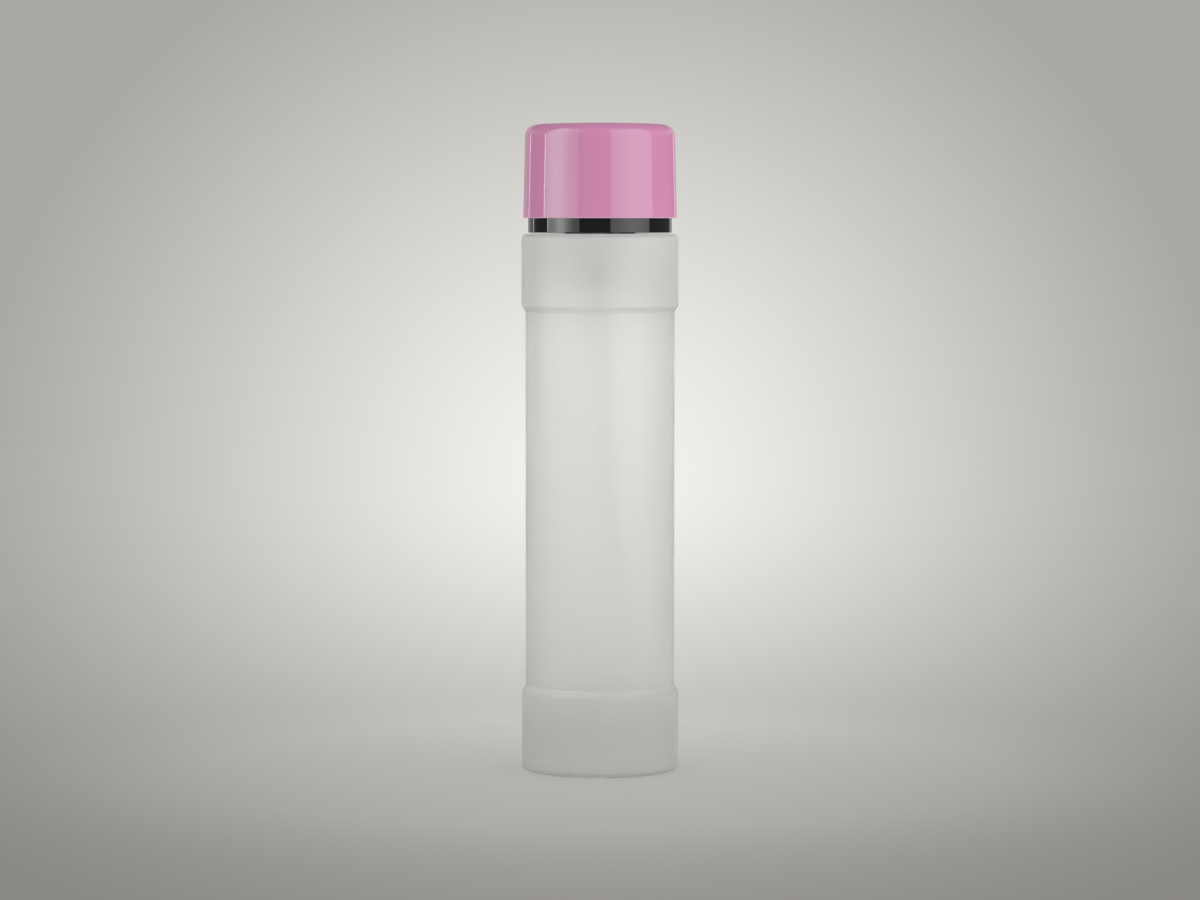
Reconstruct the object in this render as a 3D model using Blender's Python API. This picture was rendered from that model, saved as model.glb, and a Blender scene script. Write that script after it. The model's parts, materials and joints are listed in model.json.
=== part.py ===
"""A frosted body-mist bottle with a fine-mist pump, a black collar and a pink overcap.

Metres, +Z up. The origin is on the bottle's axis, at the level it stands on, and the
nozzle faces -Y. Each piece is its own object, modelled from its own lowest level and
seated at its height, and a moving piece hangs on the piece that carries it.
"""

from math import atan2, ceil, cos, hypot, pi, radians, sin, tan

import bmesh
import bpy
from mathutils import Vector

# Fits between neighbouring pieces
FIT_GAP = 0.0003
SNUG_GAP = 0.00015
SLIDE_GAP = 0.0002
CUT_OVERRUN = 0.001

# Bottle body
BODY_RADIUS = 0.0237
BAND_PROUD = 0.0013
BOTTLE_WALL = 0.0011
SHOULDER_HEIGHT = 0.1712
SHOULDER_FILLET = 0.0019
LOWER_BAND_HEIGHT = 0.0251
LOWER_BAND_SLOPE = 0.0019
UPPER_BAND_HEIGHT = 0.0230
UPPER_BAND_SLOPE = 0.0018
BAND_EDGE_FILLET = 0.0008
LOWER_BAND_FILLET = 0.0018

# Bottle base
BASE_FILLET = 0.0014
BASE_WALL = 0.0014
STANDING_RING_WIDTH = 0.0031
PUNT_RISE = 0.0032
PUNT_STEPS = 4

# Bottle neck and its thread
NECK_RADIUS = 0.0109
NECK_WALL = 0.0015
NECK_HEIGHT = 0.0106
NECK_ROOT_FILLET = 0.0008
NECK_LIP_FILLET = 0.0004
THREAD_PITCH = 0.003175
THREAD_DEPTH = 0.00095
THREAD_TURNS = 1.25
THREAD_ROOT_WIDTH = 0.0016
THREAD_CREST_WIDTH = 0.0008
THREAD_EMBED = 0.0005
THREAD_TOP_DROP = 0.0016
THREAD_RUNOUT_TURNS = 0.12
THREAD_STEPS_PER_TURN = 30

# Gasket, pump flange and turret disc, clamped on the neck by the closure
GASKET_THICKNESS = 0.0010
GASKET_WIDTH = 0.0023
FLANGE_INSET = 0.0003
FLANGE_THICKNESS = 0.0012
DISC_THICKNESS = 0.0010

# Screw closure
CLOSURE_WALL = 0.00105
CLOSURE_TOP_WALL = 0.0013
CLOSURE_LIFT = 0.0010
CLOSURE_EDGE_FILLET = 0.0005

# Collar
COLLAR_INSET = 0.0021
COLLAR_WALL = 0.0013
COLLAR_RING_OVERLAP = 0.0012
COLLAR_STEP = 0.0007
COLLAR_STEP_SLOPE = 0.0004
COLLAR_EDGE_FILLET = 0.0009
COLLAR_FOOT_FILLET = 0.0002
DECK_THICKNESS = 0.0012
DECK_CLEARANCE = 0.0013
SLEEVE_WALL = 0.0011
SLEEVE_LIFT = 0.0022

# Overcap
LIP_HEIGHT = 0.0049
CAP_WALL = 0.0013
CAP_TOP_WALL = 0.0015
CAP_DRAFT_DEG = 1.38
CAP_EDGE_FILLET = 0.0038
CAP_LIP_FILLET = 0.0003
CAP_DOME_MARGIN = 0.0079
CAP_DOME_RISE = 0.0006
CAP_DOME_STEPS = 3
CAP_HEADROOM = 0.0015
CAP_BEAD_HEIGHT = 0.0044
CAP_BEAD_HALF_WIDTH = 0.0007
CAP_RIB_COUNT = 6
CAP_RIB_REACH = 0.0062
CAP_RIB_THICKNESS = 0.0010

# Pump stroke and the turret's tower
STROKE = 0.0042
TOWER_RISE = 0.0051
TOWER_WALL = 0.0012
BOSS_CLEARANCE = 0.0006
TOWER_EDGE_FILLET = 0.0003

# Stem
STEM_RADIUS = 0.0019
STEM_BORE_RADIUS = 0.00095
STEM_SHOULDER_CLEARANCE = 0.0005
STEM_SHOULDER_HEIGHT = 0.0012
STEM_BELOW_PISTON_TOP = 0.0034
STEM_PORT_RADIUS = 0.0004
STEM_PORT_LIFT = 0.0009

# Piston and valve rod
PISTON_LENGTH = 0.0040
PISTON_SLIP = 0.0008
PISTON_LIP_DEPTH = 0.0009
PISTON_LIP_WALL = 0.00035
ROD_HEAD_CLEARANCE = 0.0009
ROD_HEAD_HEIGHT = 0.0014
ROD_PLUG_LENGTH = 0.0017
ROD_GUIDE_RADIUS = 0.0012
ROD_GUIDE_LENGTH = 0.0025
ROD_EDGE_FILLET = 0.0003

# Return spring
SPRING_LENGTH = 0.0096
SPRING_COILS = 6.5
SPRING_WIRE_RADIUS = 0.0003
SPRING_CLEARANCE = 0.0004
SPRING_POINTS_PER_COIL = 10

# Pump housing
CHAMBER_RADIUS = 0.0034
BARREL_WALL = 0.0011
CAGE_RING_HEIGHT = 0.0006
CAGE_RING_WIDTH = 0.0005
BALL_RADIUS = 0.00125
BALL_LIFT = 0.0010
BALL_SIDE_GAP = 0.00035
SEAT_THROAT_RADIUS = 0.0008
SEAT_SLOPE_DEG = 34.0
SEAT_THROAT_LENGTH = 0.0015
SOCKET_WALL = 0.0012
SOCKET_DEPTH = 0.0060
BARREL_TAPER = 0.0040
VENT_RADIUS = 0.0004
VENT_DROP = 0.0014

# Dip tube
TUBE_RADIUS = 0.0016
TUBE_BORE_RADIUS = 0.0009
TUBE_REACH = 0.0150
TUBE_FLOOR_GAP = 0.0016
TUBE_STRAIGHT = 0.0080
TUBE_STEPS = 12

# Actuator button
BUTTON_CLEARANCE = 0.0005
BOSS_WALL = 0.00135
BOSS_OVERLAP = 0.0008
SKIRT_CLEARANCE = 0.0015
SKIRT_WALL = 0.0012
HEAD_HEIGHT = 0.0056
HEAD_FILLET = 0.0010
DISH_DEPTH = 0.0007
DISH_MARGIN = 0.0021
DISH_STEPS = 3
CHANNEL_RADIUS = 0.0005
CHANNEL_HEIGHT = 0.0027
SOCKET_HEADROOM = 0.0006

# Nozzle insert
NOZZLE_RADIUS = 0.0018
NOZZLE_LENGTH = 0.0026
NOZZLE_FACE_WALL = 0.0008
NOZZLE_CUP_WALL = 0.0006
NOZZLE_RECESS = 0.0004
ORIFICE_RADIUS = 0.00025
ORIFICE_FLARE = 0.0004

# Smoothness of the round shapes
LARGE_STEPS = 40
SMALL_STEPS = 20
TUBE_SIDES = 8
BALL_STEPS = 8
ARC_STEP_DEG = 30.0
FINE_FILLET = 0.0005
SHARP_ANGLE_DEG = 32.0
WELD_DISTANCE = 0.000001
FILLET_REACH_SHARE = 0.49

# Radii that follow from the neighbours
band_radius = BODY_RADIUS + BAND_PROUD
neck_bore = NECK_RADIUS - NECK_WALL
thread_radius = NECK_RADIUS + THREAD_DEPTH
flange_radius = NECK_RADIUS - FLANGE_INSET
closure_bore = thread_radius + FIT_GAP
closure_radius = closure_bore + CLOSURE_WALL
sleeve_bore = closure_radius + FIT_GAP
sleeve_radius = sleeve_bore + SLEEVE_WALL
collar_radius = band_radius - COLLAR_INSET
spigot_radius = collar_radius - COLLAR_STEP
cap_lip_bore = collar_radius + FIT_GAP
cap_lip_radius = cap_lip_bore + CAP_WALL
boss_radius = STEM_RADIUS + SNUG_GAP + BOSS_WALL
tower_bore = boss_radius + BOSS_CLEARANCE
tower_radius = tower_bore + TOWER_WALL
skirt_bore = tower_radius + SKIRT_CLEARANCE
button_radius = skirt_bore + SKIRT_WALL
deck_bore = button_radius + DECK_CLEARANCE
guide_bore = STEM_RADIUS + FIT_GAP
barrel_radius = CHAMBER_RADIUS + BARREL_WALL
stem_shoulder_radius = CHAMBER_RADIUS - STEM_SHOULDER_CLEARANCE
piston_radius = CHAMBER_RADIUS - SLIDE_GAP
piston_bore = STEM_RADIUS + SLIDE_GAP
rod_head_radius = CHAMBER_RADIUS - ROD_HEAD_CLEARANCE
rod_plug_radius = STEM_BORE_RADIUS - SNUG_GAP
spring_mean_radius = CHAMBER_RADIUS - SPRING_CLEARANCE - SPRING_WIRE_RADIUS
cage_radius = BALL_RADIUS + BALL_SIDE_GAP
cage_ring_radius = cage_radius - CAGE_RING_WIDTH
socket_bore = TUBE_RADIUS + SNUG_GAP
socket_radius = socket_bore + SOCKET_WALL
pocket_radius = NOZZLE_RADIUS + SNUG_GAP

# Heights above the ground, from the shoulder up through the clamped stack
upper_band_bottom = SHOULDER_HEIGHT - UPPER_BAND_HEIGHT
neck_top = SHOULDER_HEIGHT + NECK_HEIGHT
gasket_bottom = neck_top + FIT_GAP
flange_bottom = gasket_bottom + GASKET_THICKNESS + FIT_GAP
flange_top = flange_bottom + FLANGE_THICKNESS
disc_bottom = flange_top + FIT_GAP
disc_top = disc_bottom + DISC_THICKNESS
closure_bottom = SHOULDER_HEIGHT + CLOSURE_LIFT
closure_ceiling = disc_top + FIT_GAP
closure_top = closure_ceiling + CLOSURE_TOP_WALL
collar_bottom = SHOULDER_HEIGHT + FIT_GAP
deck_bottom = closure_top + FIT_GAP
deck_top = deck_bottom + DECK_THICKNESS
tower_top = closure_top + TOWER_RISE
button_bottom = closure_top + STROKE + BUTTON_CLEARANCE
button_ceiling = tower_top + STROKE + BUTTON_CLEARANCE
button_top = button_ceiling + HEAD_HEIGHT
boss_bottom = tower_top + BOSS_OVERLAP
cap_bottom = SHOULDER_HEIGHT + LIP_HEIGHT
cap_ceiling = button_top + CAP_HEADROOM
cap_top = cap_ceiling + CAP_TOP_WALL

# Heights inside the pump, from the turret's disc down to the dip tube
stem_shoulder_top = disc_bottom - FIT_GAP
stem_shoulder_bottom = stem_shoulder_top - STEM_SHOULDER_HEIGHT
piston_top = stem_shoulder_bottom - PISTON_SLIP - FIT_GAP
piston_bottom = piston_top - PISTON_LENGTH
stem_bottom = piston_top - STEM_BELOW_PISTON_TOP
channel_height = button_ceiling + CHANNEL_HEIGHT
socket_ceiling = channel_height - SOCKET_HEADROOM
stem_top = socket_ceiling - FIT_GAP
rod_head_top = piston_bottom - FIT_GAP
rod_head_bottom = rod_head_top - ROD_HEAD_HEIGHT
rod_bottom = rod_head_bottom - ROD_GUIDE_LENGTH
rod_top = stem_bottom + ROD_PLUG_LENGTH
spring_bottom = rod_head_bottom - FIT_GAP - SPRING_LENGTH
ledge_height = spring_bottom - FIT_GAP
cage_top = ledge_height - CAGE_RING_HEIGHT
ball_height = cage_top - FIT_GAP - BALL_LIFT - BALL_RADIUS
seat_reach = (BALL_RADIUS + FIT_GAP) / cos(radians(SEAT_SLOPE_DEG))
seat_drop = (cage_radius - SEAT_THROAT_RADIUS) / tan(radians(SEAT_SLOPE_DEG))
throat_top = ball_height - (seat_reach - SEAT_THROAT_RADIUS) / tan(radians(SEAT_SLOPE_DEG))
seat_top = throat_top + seat_drop
socket_top = throat_top - SEAT_THROAT_LENGTH
socket_bottom = socket_top - SOCKET_DEPTH
tube_top = socket_top - FIT_GAP
taper_bottom = throat_top - FIT_GAP
taper_top = taper_bottom + BARREL_TAPER


# Materials
def make_material(name, colour, roughness, metallic=0.0, transmission=0.0):
    material = bpy.data.materials.new(name)
    material.use_nodes = True
    shader = material.node_tree.nodes["Principled BSDF"]
    shader.inputs["Base Color"].default_value = (*colour, 1.0)
    shader.inputs["Roughness"].default_value = roughness
    shader.inputs["Metallic"].default_value = metallic
    shader.inputs["Transmission Weight"].default_value = transmission
    material.diffuse_color = (*colour, 1.0)
    return material


def make_materials():
    return {
        "frosted": make_material("frosted_plastic", (0.74, 0.76, 0.74), 0.5, transmission=0.6),
        "black": make_material("gloss_black", (0.012, 0.012, 0.015), 0.12),
        "pink": make_material("gloss_pink", (0.60, 0.22, 0.40), 0.2),
        "natural": make_material("natural_plastic", (0.80, 0.80, 0.77), 0.4),
        "white": make_material("white_plastic", (0.82, 0.82, 0.80), 0.3),
        "foam": make_material("white_foam", (0.78, 0.78, 0.75), 0.9),
        "steel": make_material("polished_steel", (0.62, 0.61, 0.60), 0.2, metallic=1.0),
        "tube": make_material("clear_tube", (0.80, 0.82, 0.80), 0.35, transmission=0.5),
    }


# Outlines are runs of (radius, height) points
def rounded(corners):
    """The points of a closed outline whose corners are (radius, height, fillet)."""
    points = []
    for index, (radius, height, fillet) in enumerate(corners):
        here = Vector((radius, height))
        after_index = (index + 1) % len(corners)
        to_before = Vector(corners[index - 1][:2]) - here
        to_after = Vector(corners[after_index][:2]) - here
        if not fillet:
            points.append(here)
            continue
        half_angle = to_before.angle(to_after) / 2
        room = FILLET_REACH_SHARE * min(to_before.length, to_after.length)
        reach = min(fillet / tan(half_angle), room)
        middle = (to_before.normalized() + to_after.normalized()).normalized()
        centre = here + middle * reach / cos(half_angle)
        start = here + to_before.normalized() * reach - centre
        end = here + to_after.normalized() * reach - centre
        sweep = atan2(start.x * end.y - start.y * end.x, start.dot(end))
        steps = 1
        if fillet > FINE_FILLET:
            steps = ceil(abs(sweep) / radians(ARC_STEP_DEG) - FILLET_REACH_SHARE)
        first = atan2(start.y, start.x)
        for step in range(steps + 1):
            angle = first + sweep * step / steps
            points.append(centre + start.length * Vector((cos(angle), sin(angle))))
    return points


def crown(radius, rise, height, steps):
    """A shallow dome's corners from its rim to the axis."""
    shares = [1 - step / steps for step in range(1, steps + 1)]
    return [(radius * share, height + rise * (1 - share**2), 0) for share in shares]


# Meshes
def finish_mesh(name, mesh_builder, material):
    bmesh.ops.recalc_face_normals(mesh_builder, faces=mesh_builder.faces)
    mesh = bpy.data.meshes.new(name)
    mesh_builder.to_mesh(mesh)
    mesh_builder.free()
    mesh.shade_smooth()
    mesh.set_sharp_from_angle(angle=radians(SHARP_ANGLE_DEG))
    piece = bpy.data.objects.new(name, mesh)
    if material:
        mesh.materials.append(material)
    bpy.context.collection.objects.link(piece)
    return piece


def turned(name, outline, material, steps=LARGE_STEPS):
    """A solid turned about its own Z axis from a closed outline."""
    builder = bmesh.new()
    verts = [builder.verts.new((point[0], 0, point[1])) for point in outline]
    closing = outline[0][0] > 0 or outline[-1][0] > 0
    edges = [builder.edges.new(pair) for pair in zip(verts, verts[1:])]
    if closing:
        edges.append(builder.edges.new((verts[-1], verts[0])))
    bmesh.ops.spin(
        builder,
        geom=verts + edges,
        axis=(0, 0, 1),
        cent=(0, 0, 0),
        angle=2 * pi,
        steps=steps,
    )
    bmesh.ops.remove_doubles(builder, verts=builder.verts, dist=WELD_DISTANCE)
    bmesh.ops.dissolve_degenerate(builder, edges=builder.edges, dist=WELD_DISTANCE)
    return finish_mesh(name, builder, material)


def skinned(builder, rings, closed=False):
    """Joins rings of corners, each to the next, and caps the two ends or closes the loop."""
    verts = [[builder.verts.new(point) for point in ring] for ring in rings]
    pairs = list(zip(verts, verts[1:]))
    if closed:
        pairs.append((verts[-1], verts[0]))
    for near, far in pairs:
        for side in range(len(near)):
            after = (side + 1) % len(near)
            builder.faces.new((near[side], near[after], far[after], far[side]))
    if not closed:
        builder.faces.new(verts[0])
        builder.faces.new(verts[-1])


def thread_ridge(name, root_radius, direction, start_height):
    """A helical ridge that stands out of a wall, or into a bore where direction is -1."""
    steps = round(THREAD_TURNS * THREAD_STEPS_PER_TURN)
    half_root = THREAD_ROOT_WIDTH / 2
    half_crest = THREAD_CREST_WIDTH / 2
    rings = []
    for step in range(steps + 1):
        turns = THREAD_TURNS * step / steps
        to_end = min(turns, THREAD_TURNS - turns)
        grown_share = min(1, to_end / THREAD_RUNOUT_TURNS)
        crest = THREAD_DEPTH * grown_share - THREAD_EMBED * (1 - grown_share) / 2
        angle = 2 * pi * turns
        height = start_height + THREAD_PITCH * turns
        section = (
            (-THREAD_EMBED, -half_root),
            (0, -half_root),
            (crest, -half_crest),
            (crest, half_crest),
            (0, half_root),
            (-THREAD_EMBED, half_root),
        )
        if crest <= 0:
            sunk = crest - THREAD_EMBED
            section = tuple((min(out, sunk / 2), across) for out, across in section)
        rings.append(
            [
                (
                    (root_radius + direction * out) * cos(angle),
                    (root_radius + direction * out) * sin(angle),
                    height + across,
                )
                for out, across in section
            ]
        )
    builder = bmesh.new()
    skinned(builder, rings)
    return finish_mesh(name, builder, None)


def cylinder(name, radius, depth, centre, axis="Z"):
    """A plain round bar about one of the world's axes."""
    builder = bmesh.new()
    bmesh.ops.create_cone(
        builder,
        cap_ends=True,
        segments=SMALL_STEPS,
        radius1=radius,
        radius2=radius,
        depth=depth,
    )
    piece = finish_mesh(name, builder, None)
    piece.location = centre
    if axis == "Y":
        piece.rotation_euler.x = pi / 2
    if axis == "X":
        piece.rotation_euler.y = pi / 2
    return piece


def combine(piece, tool, operation):
    """Cuts a tool out of a piece, or joins it on, and hides the tool."""
    modifier = piece.modifiers.new(f"{operation.lower()} {tool.name}", "BOOLEAN")
    modifier.operation = operation
    modifier.solver = "EXACT"
    modifier.object = tool
    tool.parent = piece
    tool.hide_render = True
    tool.display_type = "WIRE"


def seat(piece, height, carrier=None):
    """Stands a piece on the bottle's axis at a height above the ground."""
    piece["height"] = height
    piece.parent = carrier
    piece.location.z = height - (carrier["height"] if carrier else 0)
    return piece


# The bottle
def make_bottle(materials):
    inner_body = BODY_RADIUS - BOTTLE_WALL
    inner_band = band_radius - BOTTLE_WALL
    ring_radius = band_radius - BASE_FILLET - STANDING_RING_WIDTH
    lower_band_top = LOWER_BAND_HEIGHT + LOWER_BAND_SLOPE
    slope_bottom = upper_band_bottom - UPPER_BAND_SLOPE
    inner_shoulder = SHOULDER_HEIGHT - BOTTLE_WALL
    outside = [
        *reversed(crown(ring_radius, PUNT_RISE, 0, PUNT_STEPS)),
        (ring_radius, 0, 0),
        (band_radius, 0, BASE_FILLET),
        (band_radius, LOWER_BAND_HEIGHT, LOWER_BAND_FILLET),
        (BODY_RADIUS, lower_band_top, BAND_EDGE_FILLET),
        (BODY_RADIUS, slope_bottom, BAND_EDGE_FILLET),
        (band_radius, upper_band_bottom, BAND_EDGE_FILLET),
        (band_radius, SHOULDER_HEIGHT, SHOULDER_FILLET),
        (NECK_RADIUS, SHOULDER_HEIGHT, NECK_ROOT_FILLET),
        (NECK_RADIUS, neck_top, NECK_LIP_FILLET),
    ]
    inside = [
        (neck_bore, neck_top, NECK_LIP_FILLET),
        (neck_bore, inner_shoulder, 0),
        (inner_band, inner_shoulder, SHOULDER_FILLET - BOTTLE_WALL),
        (inner_band, upper_band_bottom, 0),
        (inner_body, slope_bottom, 0),
        (inner_body, lower_band_top, 0),
        (inner_band, LOWER_BAND_HEIGHT, 0),
        (inner_band, BASE_WALL, BASE_FILLET - BOTTLE_WALL),
        (ring_radius, BASE_WALL, 0),
        *crown(ring_radius, PUNT_RISE, BASE_WALL, PUNT_STEPS),
    ]
    bottle = turned("bottle", rounded(outside + inside), materials["frosted"])
    ridge_start = neck_top - THREAD_TOP_DROP - THREAD_TURNS * THREAD_PITCH
    ridge = thread_ridge("neck_thread", NECK_RADIUS, 1, ridge_start)
    combine(bottle, ridge, "UNION")
    return seat(bottle, 0)


# The pieces clamped on the neck
def make_gasket(materials, carrier):
    outer = flange_radius
    inner = outer - GASKET_WIDTH
    outline = [(inner, 0), (outer, 0), (outer, GASKET_THICKNESS), (inner, GASKET_THICKNESS)]
    gasket = turned("neck_gasket", outline, materials["foam"])
    return seat(gasket, gasket_bottom, carrier)


def make_housing(materials, carrier):
    def level(height):
        return height - socket_bottom

    corners = [
        (socket_radius, 0, 0),
        (socket_radius, level(taper_bottom), 0),
        (barrel_radius, level(taper_top), 0),
        (barrel_radius, level(flange_bottom), 0),
        (flange_radius, level(flange_bottom), 0),
        (flange_radius, level(flange_top), 0),
        (CHAMBER_RADIUS, level(flange_top), 0),
        (CHAMBER_RADIUS, level(ledge_height), 0),
        (cage_ring_radius, level(ledge_height), 0),
        (cage_ring_radius, level(cage_top), 0),
        (cage_radius, level(cage_top), 0),
        (cage_radius, level(seat_top), 0),
        (SEAT_THROAT_RADIUS, level(throat_top), 0),
        (SEAT_THROAT_RADIUS, level(socket_top), 0),
        (socket_bore, level(socket_top), 0),
        (socket_bore, 0, 0),
    ]
    housing = turned("pump_housing", rounded(corners), materials["natural"], SMALL_STEPS)
    vent_height = level(flange_bottom - VENT_DROP)
    vent = cylinder("vent_hole", VENT_RADIUS, barrel_radius, (barrel_radius, 0, vent_height), "X")
    combine(housing, vent, "DIFFERENCE")
    return seat(housing, socket_bottom, carrier)


def make_turret(materials, carrier):
    tower_height = tower_top - disc_bottom
    corners = [
        (guide_bore, 0, 0),
        (flange_radius, 0, 0),
        (flange_radius, DISC_THICKNESS, 0),
        (tower_radius, DISC_THICKNESS, 0),
        (tower_radius, tower_height, TOWER_EDGE_FILLET),
        (tower_bore, tower_height, TOWER_EDGE_FILLET),
        (tower_bore, DISC_THICKNESS, 0),
        (guide_bore, DISC_THICKNESS, 0),
    ]
    turret = turned("turret", rounded(corners), materials["natural"], SMALL_STEPS)
    return seat(turret, disc_bottom, carrier)


def make_closure(materials, carrier):
    height = closure_top - closure_bottom
    ceiling = closure_ceiling - closure_bottom
    hole = tower_radius + FIT_GAP
    corners = [
        (closure_bore, 0, 0),
        (closure_radius, 0, 0),
        (closure_radius, height, CLOSURE_EDGE_FILLET),
        (hole, height, 0),
        (hole, ceiling, 0),
        (closure_bore, ceiling, 0),
    ]
    closure = turned("screw_closure", rounded(corners), materials["white"])
    slope = (THREAD_ROOT_WIDTH - THREAD_CREST_WIDTH) / 2 / THREAD_DEPTH
    ridge_drop = THREAD_ROOT_WIDTH - slope * (closure_bore - NECK_RADIUS) + FIT_GAP
    neck_start = neck_top - THREAD_TOP_DROP - THREAD_TURNS * THREAD_PITCH
    ridge_start = neck_start - ridge_drop - closure_bottom
    ridge = thread_ridge("closure_thread", closure_bore, -1, ridge_start)
    combine(closure, ridge, "UNION")
    return seat(closure, closure_bottom, carrier)


def make_collar(materials, carrier):
    height = deck_top - collar_bottom
    ceiling = deck_bottom - collar_bottom
    step_height = cap_bottom + COLLAR_RING_OVERLAP - collar_bottom
    step_top = step_height + COLLAR_STEP_SLOPE
    inner_radius = spigot_radius - COLLAR_WALL
    corners = [
        (collar_radius, 0, COLLAR_FOOT_FILLET),
        (collar_radius, step_height, 0),
        (spigot_radius, step_top, 0),
        (spigot_radius, height, COLLAR_EDGE_FILLET),
        (deck_bore, height, COLLAR_FOOT_FILLET),
        (deck_bore, ceiling, 0),
        (sleeve_bore, ceiling, 0),
        (sleeve_bore, SLEEVE_LIFT, 0),
        (sleeve_radius, SLEEVE_LIFT, 0),
        (sleeve_radius, ceiling, 0),
        (inner_radius, ceiling, 0),
        (inner_radius, 0, COLLAR_FOOT_FILLET),
    ]
    collar = turned("collar", rounded(corners), materials["black"])
    return seat(collar, collar_bottom, carrier)


# The overcap
def cap_radius_at(height, lip_radius):
    return lip_radius - height * tan(radians(CAP_DRAFT_DEG))


def make_cap_rib(index, bottom, top):
    """A flat rib whose outer edge follows the middle of the cap's wall."""
    middle_radius = cap_lip_bore + CAP_WALL / 2
    inner_end = cap_radius_at(top, cap_lip_bore) - CAP_RIB_REACH
    corners = [
        (inner_end, bottom, 0),
        (cap_radius_at(bottom, middle_radius), bottom, 0),
        (cap_radius_at(top, middle_radius), top, CAP_EDGE_FILLET - CAP_WALL / 2),
        (inner_end, top, 0),
    ]
    rings = []
    for side in (-CAP_RIB_THICKNESS / 2, CAP_RIB_THICKNESS / 2):
        rings.append([(radius, side, height) for radius, height in rounded(corners)])
    builder = bmesh.new()
    skinned(builder, rings)
    rib = finish_mesh(f"cap_rib_{index + 1}", builder, None)
    rib.rotation_euler.z = 2 * pi * index / CAP_RIB_COUNT
    return rib


def make_overcap(materials, carrier):
    height = cap_top - cap_bottom
    ceiling = cap_ceiling - cap_bottom
    bead_radius = spigot_radius + FIT_GAP
    bead_top = CAP_BEAD_HEIGHT + CAP_BEAD_HALF_WIDTH
    bead_bottom = CAP_BEAD_HEIGHT - CAP_BEAD_HALF_WIDTH
    dome_radius = cap_radius_at(height, cap_lip_radius) - CAP_DOME_MARGIN
    corners = [
        (cap_lip_radius, 0, CAP_LIP_FILLET),
        (cap_radius_at(height, cap_lip_radius), height, CAP_EDGE_FILLET),
        (dome_radius, height, 0),
        *crown(dome_radius, CAP_DOME_RISE, height, CAP_DOME_STEPS),
        (0, ceiling, 0),
        (cap_radius_at(ceiling, cap_lip_bore), ceiling, CAP_EDGE_FILLET - CAP_WALL),
        (cap_radius_at(bead_top, cap_lip_bore), bead_top, 0),
        (bead_radius, CAP_BEAD_HEIGHT, 0),
        (cap_radius_at(bead_bottom, cap_lip_bore), bead_bottom, 0),
        (cap_lip_bore, 0, CAP_LIP_FILLET),
    ]
    cap = turned("overcap", rounded(corners), materials["pink"])
    rib_bottom = deck_top + FIT_GAP - cap_bottom
    rib_top = ceiling + CAP_TOP_WALL / 2
    for index in range(CAP_RIB_COUNT):
        combine(cap, make_cap_rib(index, rib_bottom, rib_top), "UNION")
    return seat(cap, cap_bottom, carrier)


# The pieces that move with the button
def make_stem(materials, carrier):
    def level(height):
        return height - stem_bottom

    corners = [
        (STEM_BORE_RADIUS, 0, 0),
        (STEM_RADIUS, 0, 0),
        (STEM_RADIUS, level(stem_shoulder_bottom), 0),
        (stem_shoulder_radius, level(stem_shoulder_bottom), 0),
        (stem_shoulder_radius, level(stem_shoulder_top), 0),
        (STEM_RADIUS, level(stem_shoulder_top), 0),
        (STEM_RADIUS, level(stem_top), 0),
        (STEM_BORE_RADIUS, level(stem_top), 0),
    ]
    stem = turned("stem", rounded(corners), materials["natural"], SMALL_STEPS)
    port_height = ROD_PLUG_LENGTH + STEM_PORT_LIFT
    port = cylinder("stem_port", STEM_PORT_RADIUS, 4 * STEM_RADIUS, (0, 0, port_height), "X")
    combine(stem, port, "DIFFERENCE")
    return seat(stem, stem_bottom, carrier)


def make_valve_rod(materials, carrier):
    def level(height):
        return height - rod_bottom

    corners = [
        (0, 0, 0),
        (ROD_GUIDE_RADIUS, 0, ROD_EDGE_FILLET),
        (ROD_GUIDE_RADIUS, level(rod_head_bottom), 0),
        (rod_head_radius, level(rod_head_bottom), 0),
        (rod_head_radius, level(rod_head_top), ROD_EDGE_FILLET),
        (rod_plug_radius, level(rod_head_top), 0),
        (rod_plug_radius, level(rod_top), ROD_EDGE_FILLET),
        (0, level(rod_top), 0),
    ]
    rod = turned("valve_rod", rounded(corners), materials["white"], SMALL_STEPS)
    return seat(rod, rod_bottom, carrier)


def make_piston(materials, carrier):
    waist = piston_radius - PISTON_LIP_WALL
    groove = waist - PISTON_LIP_WALL
    upper = PISTON_LENGTH - PISTON_LIP_DEPTH
    corners = [
        (piston_bore, 0, 0),
        (groove, 0, 0),
        (groove, PISTON_LIP_DEPTH, 0),
        (waist, PISTON_LIP_DEPTH, 0),
        (waist, 0, 0),
        (piston_radius, 0, 0),
        (piston_radius, PISTON_LIP_DEPTH, 0),
        (waist, 2 * PISTON_LIP_DEPTH, 0),
        (waist, PISTON_LENGTH - 2 * PISTON_LIP_DEPTH, 0),
        (piston_radius, upper, 0),
        (piston_radius, PISTON_LENGTH, 0),
        (waist, PISTON_LENGTH, 0),
        (waist, upper, 0),
        (groove, upper, 0),
        (groove, PISTON_LENGTH, 0),
        (piston_bore, PISTON_LENGTH, 0),
    ]
    piston = turned("piston", rounded(corners), materials["white"], SMALL_STEPS)
    return seat(piston, piston_bottom, carrier)


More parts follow.
